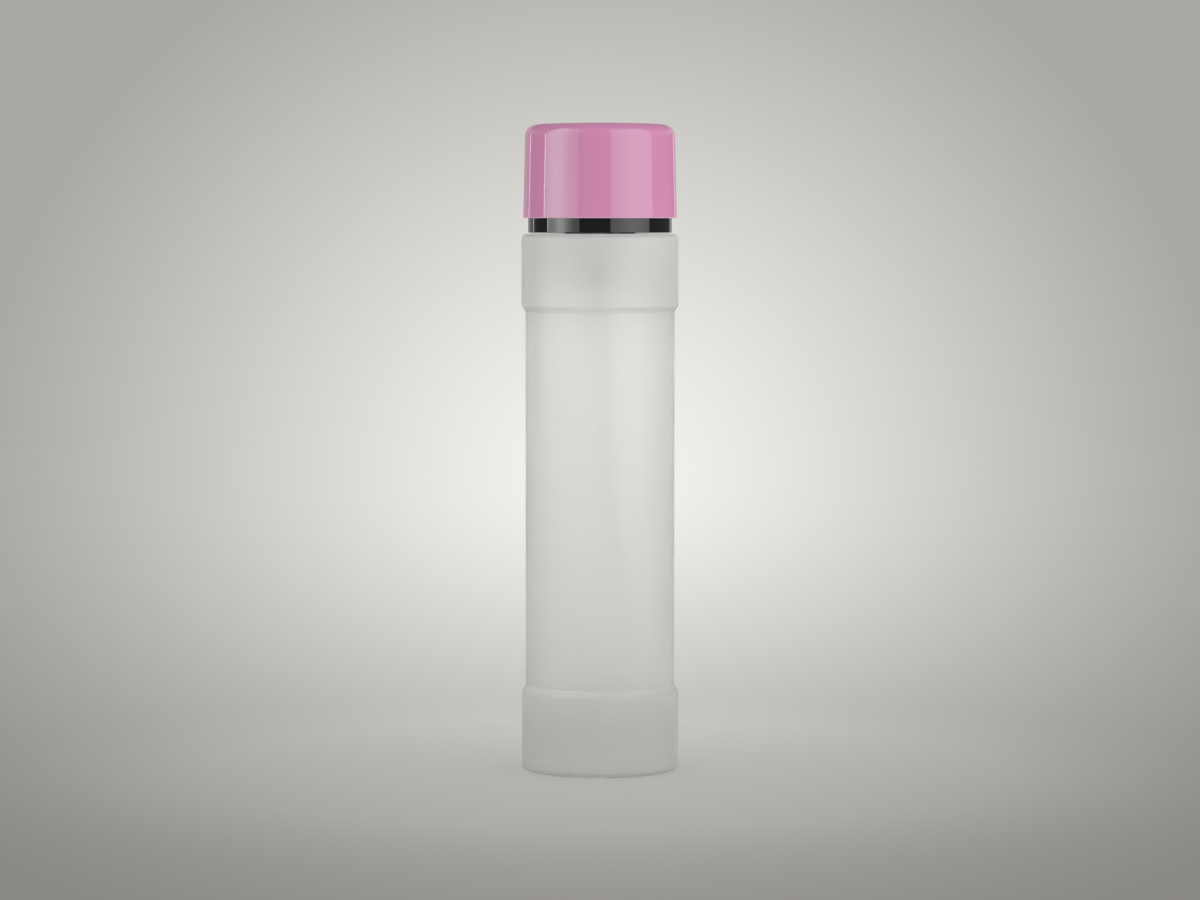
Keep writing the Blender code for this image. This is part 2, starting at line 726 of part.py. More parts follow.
def make_button(materials, carrier):
    height = button_top - button_bottom
    ceiling = button_ceiling - button_bottom
    dish_radius = button_radius - DISH_MARGIN
    boss_level = boss_bottom - button_bottom
    socket_radius_in_boss = STEM_RADIUS + SNUG_GAP
    dish = crown(dish_radius, -DISH_DEPTH, height, DISH_STEPS)
    corners = [
        (button_radius, 0, 0),
        (button_radius, height, HEAD_FILLET),
        (dish_radius, height, 0),
        *dish,
        (0, socket_ceiling - button_bottom, 0),
        (socket_radius_in_boss, socket_ceiling - button_bottom, 0),
        (socket_radius_in_boss, boss_level, 0),
        (boss_radius, boss_level, 0),
        (boss_radius, ceiling, 0),
        (skirt_bore, ceiling, 0),
        (skirt_bore, 0, 0),
    ]
    button = turned("actuator_button", rounded(corners), materials["white"], SMALL_STEPS)
    pocket_depth = NOZZLE_RECESS + NOZZLE_LENGTH + FIT_GAP
    pocket_end = button_radius - pocket_depth
    channel_level = channel_height - button_bottom
    pocket_length = pocket_depth + CUT_OVERRUN
    pocket_middle = (0, -pocket_end - pocket_length / 2, channel_level)
    pocket = cylinder("nozzle_pocket", pocket_radius, pocket_length, pocket_middle, "Y")
    channel_length = pocket_end + CHANNEL_RADIUS
    channel_middle = (0, -channel_length / 2, channel_level)
    channel = cylinder("spray_channel", CHANNEL_RADIUS, channel_length, channel_middle, "Y")
    riser_length = 2 * (channel_height - socket_ceiling)
    riser_middle = (0, 0, channel_level - SOCKET_HEADROOM)
    riser = cylinder("spray_riser", STEM_BORE_RADIUS, riser_length, riser_middle)
    for tool in (pocket, channel, riser):
        combine(button, tool, "DIFFERENCE")
    return seat(button, button_bottom, carrier)


def make_nozzle(materials, carrier):
    cup_radius = NOZZLE_RADIUS - NOZZLE_CUP_WALL
    face_back = NOZZLE_LENGTH - NOZZLE_FACE_WALL
    corners = [
        (NOZZLE_RADIUS, 0, 0),
        (NOZZLE_RADIUS, NOZZLE_LENGTH, ORIFICE_RADIUS),
        (ORIFICE_RADIUS + ORIFICE_FLARE, NOZZLE_LENGTH, 0),
        (ORIFICE_RADIUS, NOZZLE_LENGTH - ORIFICE_FLARE, 0),
        (ORIFICE_RADIUS, face_back, 0),
        (cup_radius, face_back, 0),
        (cup_radius, 0, 0),
    ]
    nozzle = turned("nozzle_insert", rounded(corners), materials["white"], SMALL_STEPS)
    nozzle.rotation_euler.x = pi / 2
    nozzle.location.y = NOZZLE_RECESS + NOZZLE_LENGTH - button_radius
    return seat(nozzle, channel_height, carrier)


# The pieces inside the housing and below it
def make_spring(materials, carrier):
    curve = bpy.data.curves.new("return_spring", "CURVE")
    curve.dimensions = "3D"
    curve.bevel_depth = SPRING_WIRE_RADIUS
    curve.bevel_resolution = 1
    curve.use_fill_caps = True
    count = round(SPRING_COILS * SPRING_POINTS_PER_COIL)
    rise = SPRING_LENGTH - 2 * SPRING_WIRE_RADIUS
    spline = curve.splines.new("POLY")
    spline.points.add(count)
    places = []
    for index, point in enumerate(spline.points):
        share = index / count
        angle = 2 * pi * SPRING_COILS * share
        place = Vector(
            (
                spring_mean_radius * cos(angle),
                spring_mean_radius * sin(angle),
                SPRING_WIRE_RADIUS + rise * share,
            )
        )
        places.append(place)
        point.co = (*place, 1)
    least = min(
        (places[far] - places[near]).length
        for near in range(count)
        for far in range(near + SPRING_POINTS_PER_COIL // 2, count + 1)
    )
    print(f"return_spring: least gap between its coils {least - 2 * SPRING_WIRE_RADIUS:.5f} m")
    curve.materials.append(materials["steel"])
    spring = bpy.data.objects.new("return_spring", curve)
    bpy.context.collection.objects.link(spring)
    return seat(spring, spring_bottom, carrier)


def make_ball(materials, carrier):
    builder = bmesh.new()
    bmesh.ops.create_uvsphere(
        builder, u_segments=2 * BALL_STEPS, v_segments=BALL_STEPS, radius=BALL_RADIUS
    )
    ball = finish_mesh("inlet_ball", builder, materials["steel"])
    return seat(ball, ball_height, carrier)


def make_dip_tube(materials, carrier):
    floor_share = TUBE_REACH / (band_radius - BASE_FILLET - STANDING_RING_WIDTH)
    floor_height = BASE_WALL + PUNT_RISE * (1 - floor_share**2)
    bottom = floor_height + TUBE_FLOOR_GAP
    bend_height = socket_bottom - TUBE_STRAIGHT
    bent_length = bend_height - bottom
    heights = [tube_top, bend_height]
    heights += [bend_height - bent_length * step / TUBE_STEPS for step in range(1, TUBE_STEPS + 1)]
    rings = []
    for radius, run in ((TUBE_RADIUS, heights), (TUBE_BORE_RADIUS, heights[::-1])):
        for height in run:
            share = max(0, bend_height - height) / bent_length
            offset = TUBE_REACH * share**2
            lean = 2 * TUBE_REACH * share / bent_length
            across = Vector((1, 0, lean)) / hypot(1, lean)
            centre = Vector((offset, 0, height - tube_top))
            angles = [2 * pi * side / TUBE_SIDES for side in range(TUBE_SIDES)]
            rings.append(
                [
                    centre + radius * (cos(angle) * across + sin(angle) * Vector((0, 1, 0)))
                    for angle in angles
                ]
            )
    builder = bmesh.new()
    skinned(builder, rings, closed=True)
    tube = finish_mesh("dip_tube", builder, materials["tube"])
    return seat(tube, tube_top, carrier)


def build():
    for leftover in list(bpy.data.objects):
        bpy.data.objects.remove(leftover, do_unlink=True)
    materials = make_materials()
    bottle = make_bottle(materials)
    housing = make_housing(materials, bottle)
    make_gasket(materials, housing)
    make_turret(materials, housing)
    make_spring(materials, housing)
    make_ball(materials, housing)
    make_dip_tube(materials, housing)
    closure = make_closure(materials, housing)
    collar = make_collar(materials, closure)
    make_overcap(materials, collar)
    stem = make_stem(materials, housing)
    make_valve_rod(materials, stem)
    make_piston(materials, stem)
    button = make_button(materials, stem)
    make_nozzle(materials, button)


build()
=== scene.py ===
"""The looks of the frosted body-mist bottle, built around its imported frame.

Metres, +Z up. The bottle's axis is Z, it stands on z = 0, and the camera looks along +Y.
Every CAD node is stood for by a finer mesh of the same size, in the same place.
"""

import json
from math import atan2, ceil, cos, hypot, pi, radians, sin, tan

import bmesh
import bpy
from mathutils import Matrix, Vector


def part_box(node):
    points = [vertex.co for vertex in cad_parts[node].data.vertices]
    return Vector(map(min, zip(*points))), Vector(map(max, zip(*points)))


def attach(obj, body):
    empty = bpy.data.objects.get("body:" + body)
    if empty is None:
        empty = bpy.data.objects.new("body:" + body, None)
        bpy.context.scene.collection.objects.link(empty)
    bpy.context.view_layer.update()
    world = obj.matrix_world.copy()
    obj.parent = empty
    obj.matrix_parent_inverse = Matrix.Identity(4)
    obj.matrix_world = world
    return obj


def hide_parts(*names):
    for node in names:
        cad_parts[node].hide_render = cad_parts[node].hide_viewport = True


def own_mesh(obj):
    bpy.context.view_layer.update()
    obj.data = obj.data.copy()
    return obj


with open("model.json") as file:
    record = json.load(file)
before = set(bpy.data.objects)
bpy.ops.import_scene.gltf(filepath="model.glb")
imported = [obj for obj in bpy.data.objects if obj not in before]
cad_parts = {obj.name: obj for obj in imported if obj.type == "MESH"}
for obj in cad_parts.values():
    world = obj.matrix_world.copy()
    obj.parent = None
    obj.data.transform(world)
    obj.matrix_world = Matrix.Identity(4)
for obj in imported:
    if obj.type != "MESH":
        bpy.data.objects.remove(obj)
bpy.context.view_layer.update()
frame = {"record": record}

# Fits between neighbouring pieces, and the fillet on small moulded edges
FIT_GAP = 0.0003
SNUG_GAP = 0.00015
SLIDE_GAP = 0.0002
EDGE_FILLET = 0.00015

# Bottle
BODY_RADIUS = 0.0237
BOTTLE_WALL = 0.0011
SHOULDER_HEIGHT = 0.1712
SHOULDER_FILLET = 0.0019
LOWER_BAND_HEIGHT = 0.0251
LOWER_BAND_SLOPE = 0.0019
UPPER_BAND_HEIGHT = 0.0230
UPPER_BAND_SLOPE = 0.0018
BAND_EDGE_FILLET = 0.0008
LOWER_BAND_FILLET = 0.0018
BASE_FILLET = 0.0014
BASE_WALL = 0.0014
STANDING_RING_WIDTH = 0.0031
STANDING_RING_FILLET = 0.0004
PUNT_RISE = 0.0032
PUNT_STEPS = 16
GATE_RADIUS = 0.0009
GATE_NUB = 0.00025
SEAM_PROUD = 0.00004
SEAM_HALF_WIDTH_DEG = 0.5

# Bottle neck and the screw thread
NECK_RADIUS = 0.0109
NECK_WALL = 0.0015
NECK_ROOT_FILLET = 0.0008
NECK_LIP_FILLET = 0.0004
THREAD_PITCH = 0.003175
THREAD_DEPTH = 0.00095
THREAD_TURNS = 1.25
THREAD_ROOT_WIDTH = 0.0016
THREAD_CREST_WIDTH = 0.0008
THREAD_EMBED = 0.0005
THREAD_TOP_DROP = 0.0016
THREAD_RUNOUT_TURNS = 0.12
THREAD_STEPS_PER_TURN = 72

# Screw closure
CLOSURE_WALL = 0.00105
CLOSURE_TOP_WALL = 0.0013
CLOSURE_EDGE_FILLET = 0.0005
SPLINE_COUNT = 48
SPLINE_STEPS = 4
SPLINE_DEPTH = 0.00015
SPLINE_TOP_DROP = 0.0012

# Collar
COLLAR_WALL = 0.0013
COLLAR_RING_OVERLAP = 0.0012
COLLAR_STEP = 0.0007
COLLAR_STEP_SLOPE = 0.0004
COLLAR_EDGE_FILLET = 0.0009
COLLAR_FOOT_FILLET = 0.0002
DECK_THICKNESS = 0.0012
DECK_CLEARANCE = 0.0013
SLEEVE_WALL = 0.0011
SLEEVE_LIFT = 0.0022

# Overcap
CAP_WALL = 0.0013
CAP_TOP_WALL = 0.0015
CAP_DRAFT_DEG = 1.38
CAP_EDGE_FILLET = 0.0038
CAP_LIP_FILLET = 0.0003
CAP_DOME_MARGIN = 0.0079
CAP_DOME_RISE = 0.0006
CAP_BEAD_HEIGHT = 0.0044
CAP_BEAD_HALF_WIDTH = 0.0007
CAP_RIB_COUNT = 6
CAP_RIB_REACH = 0.0062
CAP_RIB_THICKNESS = 0.0010

# Turret, gasket and housing
TOWER_WALL = 0.0012
TOWER_EDGE_FILLET = 0.0003
BOSS_CLEARANCE = 0.0006
DISC_THICKNESS = 0.0010
FLANGE_THICKNESS = 0.0012
GASKET_WIDTH = 0.0023
SOFT_EDGE_FILLET = 0.0002
CHAMBER_RADIUS = 0.0034
BARREL_WALL = 0.0011
BARREL_TAPER = 0.0040
CAGE_RING_HEIGHT = 0.0006
CAGE_RING_WIDTH = 0.0005
BALL_SIDE_GAP = 0.00035
SEAT_THROAT_RADIUS = 0.0008
SEAT_SLOPE_DEG = 34.0
SOCKET_WALL = 0.0012
SOCKET_DEPTH = 0.0060
VENT_RADIUS = 0.0004
VENT_DROP = 0.0014

# Stem, piston and valve rod
STEM_RADIUS = 0.0019
STEM_BORE_RADIUS = 0.00095
STEM_SHOULDER_HEIGHT = 0.0012
STEM_PORT_RADIUS = 0.0004
STEM_PORT_LIFT = 0.0009
PISTON_LIP_DEPTH = 0.0009
PISTON_LIP_WALL = 0.00035
ROD_HEAD_HEIGHT = 0.0014
ROD_PLUG_LENGTH = 0.0017
ROD_GUIDE_RADIUS = 0.0012
ROD_GUIDE_LENGTH = 0.0025
ROD_EDGE_FILLET = 0.0003

# Return spring, dip tube and ball
SPRING_COILS = 6.5
SPRING_WIRE_RADIUS = 0.0003
SPRING_POINTS_PER_COIL = 28
SPRING_SIDES = 10
TUBE_RADIUS = 0.0016
TUBE_BORE_RADIUS = 0.0009
TUBE_REACH = 0.0150
TUBE_STRAIGHT = 0.0080
TUBE_STEPS = 48
TUBE_SIDES = 32
BALL_STEPS = 24

# Button and nozzle
BOSS_WALL = 0.00135
BOSS_OVERLAP = 0.0008
SKIRT_WALL = 0.0012
HEAD_FILLET = 0.0010
DISH_DEPTH = 0.0007
DISH_MARGIN = 0.0021
CHANNEL_RADIUS = 0.0005
SOCKET_HEADROOM = 0.0006
POCKET_CHAMFER = 0.0002
CUT_OVERRUN = 0.001
NOZZLE_FACE_WALL = 0.0008
NOZZLE_CUP_WALL = 0.0006
ORIFICE_RADIUS = 0.00025
ORIFICE_FLARE = 0.0004

# Smoothness of the round shapes
LARGE_STEPS = 192
SMALL_STEPS = 96
DOME_STEPS = 12
ARC_STEP_DEG = 10.0
SHARP_ANGLE_DEG = 38.0
WELD_DISTANCE = 0.000001
FILLET_REACH_SHARE = 0.49

# Camera: the photo's eye point and its tilt below the horizon
EYE_DISTANCE = 1.2763
EYE_HEIGHT = 0.1744
EYE_TILT_DEG = 3.24
LENS_MM = 120
SENSOR_MM = 36

# Frosted plastic
COOL_FROST = (0.960, 0.966, 0.958)
WARM_FROST = (0.972, 0.964, 0.949)
# Painted shade on the frosted body: none at the first height, full beyond the span from it
UNSHADED_HEIGHT = 0.085
PAINTED_SHADE_SPAN = (0.045, 0.085)
PAINTED_SHADE_FROST = (0.872, 0.868, 0.856)
# Painted light on the shoulder's rim
PAINTED_RIM_LIGHT = (0.98, 0.98, 0.97)
RUBBED_FROST = (0.99, 0.99, 0.985)
SHOULDER_RIM = 0.0007
BODY_CLARITY = 0.82
BAND_CLARITY = 0.5
RIM_CLARITY_SHARE = 0.2
RUBBED_ROUGHNESS_SHARE = 0.45
FROST_RIPPLE_DEPTH = 0.00004
FROST_GRAIN_DEPTH = 0.000012

# Gloss plastic
BLACK = (0.0105, 0.0105, 0.013)
BLACK_WEAR_GAIN = 4
PINK = (0.675, 0.270, 0.466)
# Painted highlight on the cap's lip, also the pink's edge colour
LIP_HIGHLIGHT_PINK = (0.76, 0.54, 0.65)
PINK_GLINT = (0.5, 1, 0.82)
# Painted shade on the cap's crown, below these drops from its top
CROWN_SHADE_DROPS = (0.0026, 0.0023)
PAINTED_CROWN_SHADE = 0.92
PEEL_DEPTH = 0.0000008
SCRATCH_DEPTH = 0.0000004

# Other materials
NATURAL = (0.96, 0.96, 0.94)
CLEAR = (0.98, 0.98, 0.97)
WHITE = (0.85, 0.85, 0.83)
WHITE_WEAR_GAIN = 1.08
FOAM = (0.78, 0.78, 0.75)
STEEL = (0.62, 0.61, 0.60)
MILKY_FLOW_DEPTH = 0.000012
MILKY_GRAIN_DEPTH = 0.000004
WHITE_FLOW_DEPTH = 0.00001
WHITE_GRAIN_DEPTH = 0.000005
CELL_DEPTH = 0.00005
DRAWN_LINE_DEPTH = 0.000003

# Stage: where the glow and the corners lie are slopes seen from the eye point
FLOOR_DROP = 0.0002
FLOOR_RADIUS = 1.5
SWEEP_RADIUS = 0.5
WALL_TOP = 0.9
STAGE_STEPS = 128
SWEEP_STEPS = 24
GLOW_TILT = -0.0631
GLOW_WIDTH = 0.1417
GLOW_RISE = 0.1362
GLOW_FALL = 0.0775
GLOW_POWER = 1.5
GLOW_COLOUR = (0.9105, 0.8966, 0.8621)
SHADE_COLOUR = (0.1667, 0.1613, 0.1474)
FAR_COLOUR = (0.54, 0.535, 0.52)
LOW_CORNER = (0.258, 0.250, 0.235)
HIGH_CORNER = (0.397, 0.391, 0.371)
CORNER_RISE = (-0.119, -0.094)
LEFT_FILL = (0.42, 0.415, 0.405)
RIGHT_FILL = (1.0, 0.995, 0.98)
FOOT_HAZE = (0.35, 0.35, 0.34)
NEAR_HAZE = (0.11, 0.11, 0.105)
FAR_HAZE = (0.98, 0.975, 0.96)
HAZE_RADIUS = 0.85
LEAST_AHEAD = 0.49
FRAME_ASPECT = 0.75
FRAME_FADE = (1.02, 1.6)
SHADOW_RADIUS = 0.04
SHADOW_FADE_RADIUS = 0.22
FLOOR_GAIN = 1.37
FLOOR_GLOW = 0.5
SKY_COLOUR = (0.84, 0.84, 0.84)
CEILING_COLOUR = (0.16, 0.16, 0.16)

# Lights: arcs in degrees from the camera's side, strengths from end to end, and distances
LIGHT_DISTANCE = 1.0
LEFT_ARC = (-89.4, -33)
LEFT_HEIGHTS = (0.14, 0.21, 0.29)
LEFT_LEVELS = (2.3, 3.1, 3.9, 4.2, 4.0, 2.9, 2.1, 1.55, 1.3)
LEFT_LOW_LEVELS = (3.5, 3.1, 4.3, 6.0, 5.6, 3.6, 2.1, 1.3, 1.5)
RIGHT_ARC = (16.5, 85)
RIGHT_HEIGHTS = (0.0, 0.38)
RIGHT_LEVELS = (1.7, 2.25, 2.9, 2.5, 1.7)
UPPER_TOP = 1.5
LINE_DISTANCE = 0.98
BACK_LINE_DISTANCE = 0.95
EDGE_LIGHT_HEIGHTS = (0.10, 0.32)
EDGE_LIGHTS = {
    "left_line": ((-92.4, -90.4), (8.0, 8.0), LINE_DISTANCE),
    "left_back_line": ((-134.0, -132.0), (3.6, 3.6), BACK_LINE_DISTANCE),
    "left_back_glow": ((-146, -121), (0.5, 0.4, 0.12), LINE_DISTANCE),
    "right_back_line": ((149, 155), (1.0, 1.0), LINE_DISTANCE),
}
LIGHT_STEPS = 32
CARD_ARC = (-147, 153)
CARD_DISTANCE = 1.05
CARD_HEIGHTS = (0.15, 0.32)
CARD_LEVELS = (0.12, 0.12)


# The frame: where each node lies, and what it belongs to
def bottom(node):
    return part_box(node)[0].z


def top(node):
    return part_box(node)[1].z


def ends(node):
    return bottom(node), top(node)


def mid_height(node):
    return (bottom(node) + top(node)) / 2


def reach(node):
    """The radius of a node that is round about the bottle's axis."""
    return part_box(node)[1].y


record = frame["record"]
body_of = {node: body for body, nodes in record["behaviour"]["bodies"].items() for node in nodes}
slot_of = {part["node"]: part["material_slot"] for part in record["subparts"]}

# Radii and heights shared by several pieces
band_radius = reach("bottle") - SEAM_PROUD
neck_top = top("bottle")
neck_bore = NECK_RADIUS - NECK_WALL
thread_start = neck_top - THREAD_TOP_DROP - THREAD_TURNS * THREAD_PITCH
closure_bore = reach("screw_closure") - CLOSURE_WALL
sleeve_bore = reach("screw_closure") + FIT_GAP
sleeve_radius = sleeve_bore + SLEEVE_WALL
collar_radius = reach("collar")
spigot_radius = collar_radius - COLLAR_STEP
boss_radius = STEM_RADIUS + SNUG_GAP + BOSS_WALL
tower_bore = boss_radius + BOSS_CLEARANCE
tower_radius = tower_bore + TOWER_WALL
button_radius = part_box("actuator_button")[1].x
deck_bore = button_radius + DECK_CLEARANCE
flange_radius = reach("pump_housing")
nozzle_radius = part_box("nozzle_insert")[1].x
nozzle_back = -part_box("nozzle_insert")[1].y
channel_height = mid_height("nozzle_insert")
socket_ceiling = top("stem") + FIT_GAP


# Outlines are runs of (radius, height) points
def rounded(corners):
    """The points of a closed outline from its (radius, height, fillet) corners.

    A corner with no third number stays sharp.
    """
    points = []
    for index, (radius, height, *fillet) in enumerate(corners):
        here = Vector((radius, height))
        after_index = (index + 1) % len(corners)
        to_before = Vector(corners[index - 1][:2]) - here
        to_after = Vector(corners[after_index][:2]) - here
        if not fillet:
            points.append(here)
            continue
        half_angle = to_before.angle(to_after) / 2
        room = FILLET_REACH_SHARE * min(to_before.length, to_after.length)
        span = min(fillet[0] / tan(half_angle), room)
        middle = (to_before.normalized() + to_after.normalized()).normalized()
        centre = here + middle * span / cos(half_angle)
        start = here + to_before.normalized() * span - centre
        end = here + to_after.normalized() * span - centre
        sweep = atan2(start.x * end.y - start.y * end.x, start.dot(end))
        steps = max(2, ceil(abs(sweep) / radians(ARC_STEP_DEG)))
        first = atan2(start.y, start.x)
        for step in range(steps + 1):
            angle = first + sweep * step / steps
            points.append(centre + start.length * Vector((cos(angle), sin(angle))))
    return points


def crown(radius, rise, height, steps):
    """A shallow dome's corners, from just inside its rim to the axis."""
    shares = [1 - step / steps for step in range(1, steps + 1)]
    return [(radius * share, height + rise * (1 - share**2)) for share in shares]


def whole_turn(steps):
    return [2 * pi * step / steps for step in range(steps)]


# Meshes
def shade(mesh):
    mesh.shade_smooth()
    mesh.set_sharp_from_angle(angle=radians(SHARP_ANGLE_DEG))


def weld(builder):
    bmesh.ops.remove_doubles(builder, verts=builder.verts, dist=WELD_DISTANCE)


def add_object(name, data):
    added = bpy.data.objects.new(name, data)
    bpy.context.collection.objects.link(added)
    return added


def finish_mesh(name, builder):
    bmesh.ops.recalc_face_normals(builder, faces=builder.faces)
    mesh = bpy.data.meshes.new(name)
    builder.to_mesh(mesh)
    builder.free()
    shade(mesh)
    return add_object(name, mesh)


def turned(name, outline, angles, proud=None):
    """A solid turned about Z from a closed outline.

    proud(radius, height, angle) is how far a point there stands out of the turned shape.
    """
    builder = bmesh.new()
    on_axis = [None if radius > 0 else builder.verts.new((0, 0, height)) for radius, height in outline]
    columns = []
    for angle in angles:
        column = []
        for (radius, height), pole in zip(outline, on_axis):
            out = radius + (proud(radius, height, angle) if proud else 0)
            column.append(pole or builder.verts.new((out * cos(angle), out * sin(angle), height)))
        columns.append(column)
    for near, far in zip(columns, columns[1:] + columns[:1]):
        for index in range(len(outline)):
            after = (index + 1) % len(outline)
            corners = []
            for corner in (near[index], far[index], far[after], near[after]):
                if corner not in corners:
                    corners.append(corner)
            if len(corners) > 2:
                builder.faces.new(corners)
    weld(builder)
    return finish_mesh(name, builder)


def small_turned(name, corners):
    """A small round piece from its (radius, height, fillet) corners."""
    return turned(name, rounded(corners), whole_turn(SMALL_STEPS))


def skinned(name, rings, closed=False):
    """Joins rings of corners, each to the next, and caps the two ends or closes the loop."""
    builder = bmesh.new()
    verts = [[builder.verts.new(point) for point in ring] for ring in rings]
    pairs = list(zip(verts, verts[1:]))
    if closed:
        pairs.append((verts[-1], verts[0]))
    for near, far in pairs:
        for side in range(len(near)):
            after = (side + 1) % len(near)
            builder.faces.new((near[side], near[after], far[after], far[side]))
    if not closed:
        builder.faces.new(verts[0])
        builder.faces.new(verts[-1])
    return finish_mesh(name, builder)


def thread_ridge(name, root_radius, direction, start_height):
    """A helical ridge that stands out of a wall, or into a bore where direction is -1."""
    steps = round(THREAD_TURNS * THREAD_STEPS_PER_TURN)
    half_root = THREAD_ROOT_WIDTH / 2
    half_crest = THREAD_CREST_WIDTH / 2
    rings = []
    for step in range(steps + 1):
        turns = THREAD_TURNS * step / steps
        to_end = min(turns, THREAD_TURNS - turns)
        grown_share = min(1, to_end / THREAD_RUNOUT_TURNS)
        crest = THREAD_DEPTH * grown_share - THREAD_EMBED * (1 - grown_share) / 2
        angle = 2 * pi * turns
        height = start_height + THREAD_PITCH * turns
        upper = [(-THREAD_EMBED, half_root), (0, half_root), (crest, half_crest)]
        section = [(out, -across) for out, across in upper] + upper[::-1]
        if crest <= 0:
            sunk = crest - THREAD_EMBED
            section = [(min(out, sunk / 2), across) for out, across in section]
        ring = []
        for out, across in section:
            radius = root_radius + direction * out
            ring.append((radius * cos(angle), radius * sin(angle), height + across))
        rings.append(ring)
    return skinned(name, rings)


def bar(name, radius, start, end):
    """A round bar from one point to another."""
    along = Vector(end) - Vector(start)
    outline = [(0, 0), (radius, 0), (radius, along.length), (0, along.length)]
    piece = turned(name, outline, whole_turn(SMALL_STEPS // 2))
    piece.data.transform(along.to_track_quat("Z", "Y").to_matrix().to_4x4())
    piece.location = start
    return piece


def combine(piece, tool, operation):
    """Cuts a tool out of a piece, or joins it on, and removes the tool."""
    modifier = piece.modifiers.new(operation.lower(), "BOOLEAN")
    modifier.operation = operation
    modifier.solver = "EXACT"
    modifier.object = tool
    bpy.context.view_layer.update()
    evaluated = piece.evaluated_get(bpy.context.evaluated_depsgraph_get())
    mesh = bpy.data.meshes.new_from_object(evaluated)
    piece.modifiers.clear()
    piece.data = mesh
    shade(mesh)
    bpy.data.objects.remove(tool)


# Node trees
class Nodes:
    """A node tree under construction, of a material or of the world."""

    def __init__(self, owner):
        owner.use_nodes = True
        self.tree = owner.node_tree

    def add(self, kind, inputs=None, **settings):
        node = self.tree.nodes.new(kind)
        for key, value in settings.items():
            setattr(node, key, value)
        for key, value in (inputs or {}).items():
            self.feed(node.inputs[key], value)
        return node

    def feed(self, target, value):
        """Link a socket to another one, or set it to a number or colour."""
        if isinstance(value, bpy.types.NodeSocket):
            self.tree.links.new(value, target)
        else:
            target.default_value = (*value, 1) if target.type == "RGBA" else value

    def show(self, shader):
        """Make a shader the material's surface, in place of the Principled one."""
        self.tree.nodes.remove(self.tree.nodes["Principled BSDF"])
        self.feed(self.tree.nodes["Material Output"].inputs["Surface"], shader)

    def math(self, operation, first, second=0.0):
        return self.add("ShaderNodeMath", {0: first, 1: second}, operation=operation).outputs["Value"]

    def product(self, first, second):
        return self.math("MULTIPLY", first, second)

    def ranged(self, source, low, high, source_low=0.3, source_high=0.7, **settings):
        """A number from low to high; the source's own range suits noise, which stays near 0.5."""
        limits = {"Value": source, "From Min": source_low, "From Max": source_high}
        limits.update({"To Min": low, "To Max": high})
        return self.add("ShaderNodeMapRange", limits, **settings).outputs["Result"]

    def smooth_step(self, value, low, high):
        return self.ranged(value, 0, 1, low, high, interpolation_type="SMOOTHSTEP")

    def between(self, share, first, second):
        return self.ranged(share, first, second, source_low=0, source_high=1)

    def mixed(self, share, first, second):
        node = self.add("ShaderNodeMix", data_type="RGBA")
        node.clamp_factor = True
        colours = [socket for socket in node.inputs if socket.type == "RGBA"]
        for socket, value in zip((node.inputs[0], *colours), (share, first, second)):
            self.feed(socket, value)
        return next(socket for socket in node.outputs if socket.type == "RGBA")


class Recipe(Nodes):
    """A material under construction, with its Principled shader."""

    def __init__(self, name):
        self.material = bpy.data.materials.new(name)
        super().__init__(self.material)
        self.shader = self.tree.nodes["Principled BSDF"]
        self.place = self.add("ShaderNodeTexCoord").outputs["Object"]

    def noise(self, scale, detail=3.0, stretch=(1, 1, 1)):
        """Noise over the piece, drawn out along an axis where its stretch is under 1."""
        mapping = self.add("ShaderNodeMapping", {"Vector": self.place, "Scale": stretch})
        spots = {"Vector": mapping.outputs["Vector"], "Scale": scale, "Detail": detail}
        return self.add("ShaderNodeTexNoise", spots).outputs["Fac"]

    def height(self):
        return self.add("ShaderNodeSeparateXYZ", {"Vector": self.place}).outputs["Z"]

    def toned(self, source, colour, low, high, **limits):
        """The colour made darker or lighter, by a factor from low to high."""
        share = self.ranged(source, 0, 1, **limits)
        return self.mixed(share, scaled(colour, low), scaled(colour, high))

    def edges(self, low, high):
        """1 on the piece's convex edges and 0 on its flats."""
        pointiness = self.add("ShaderNodeNewGeometry").outputs["Pointiness"]
        return self.ranged(pointiness, 0, 1, low, high)

    def bumped(self, heights):
        """Bumps from (height socket, depth) pairs, one on top of another."""
        below = {}
        for source, depth in heights:
            bump = self.add("ShaderNodeBump", {"Height": source, "Distance": depth, **below})
            below = {"Normal": bump.outputs["Normal"]}
        self.set(normal=bump.outputs["Normal"])

    def set(self, **values):
        """Links or sets inputs of the shader, named in small letters."""
        for key, value in values.items():
            title = key.replace("_", " ").title().replace("Ior", "IOR")
            self.feed(self.shader.inputs[title], value)


def scaled(colour, factor):
    return tuple(channel * factor for channel in colour)


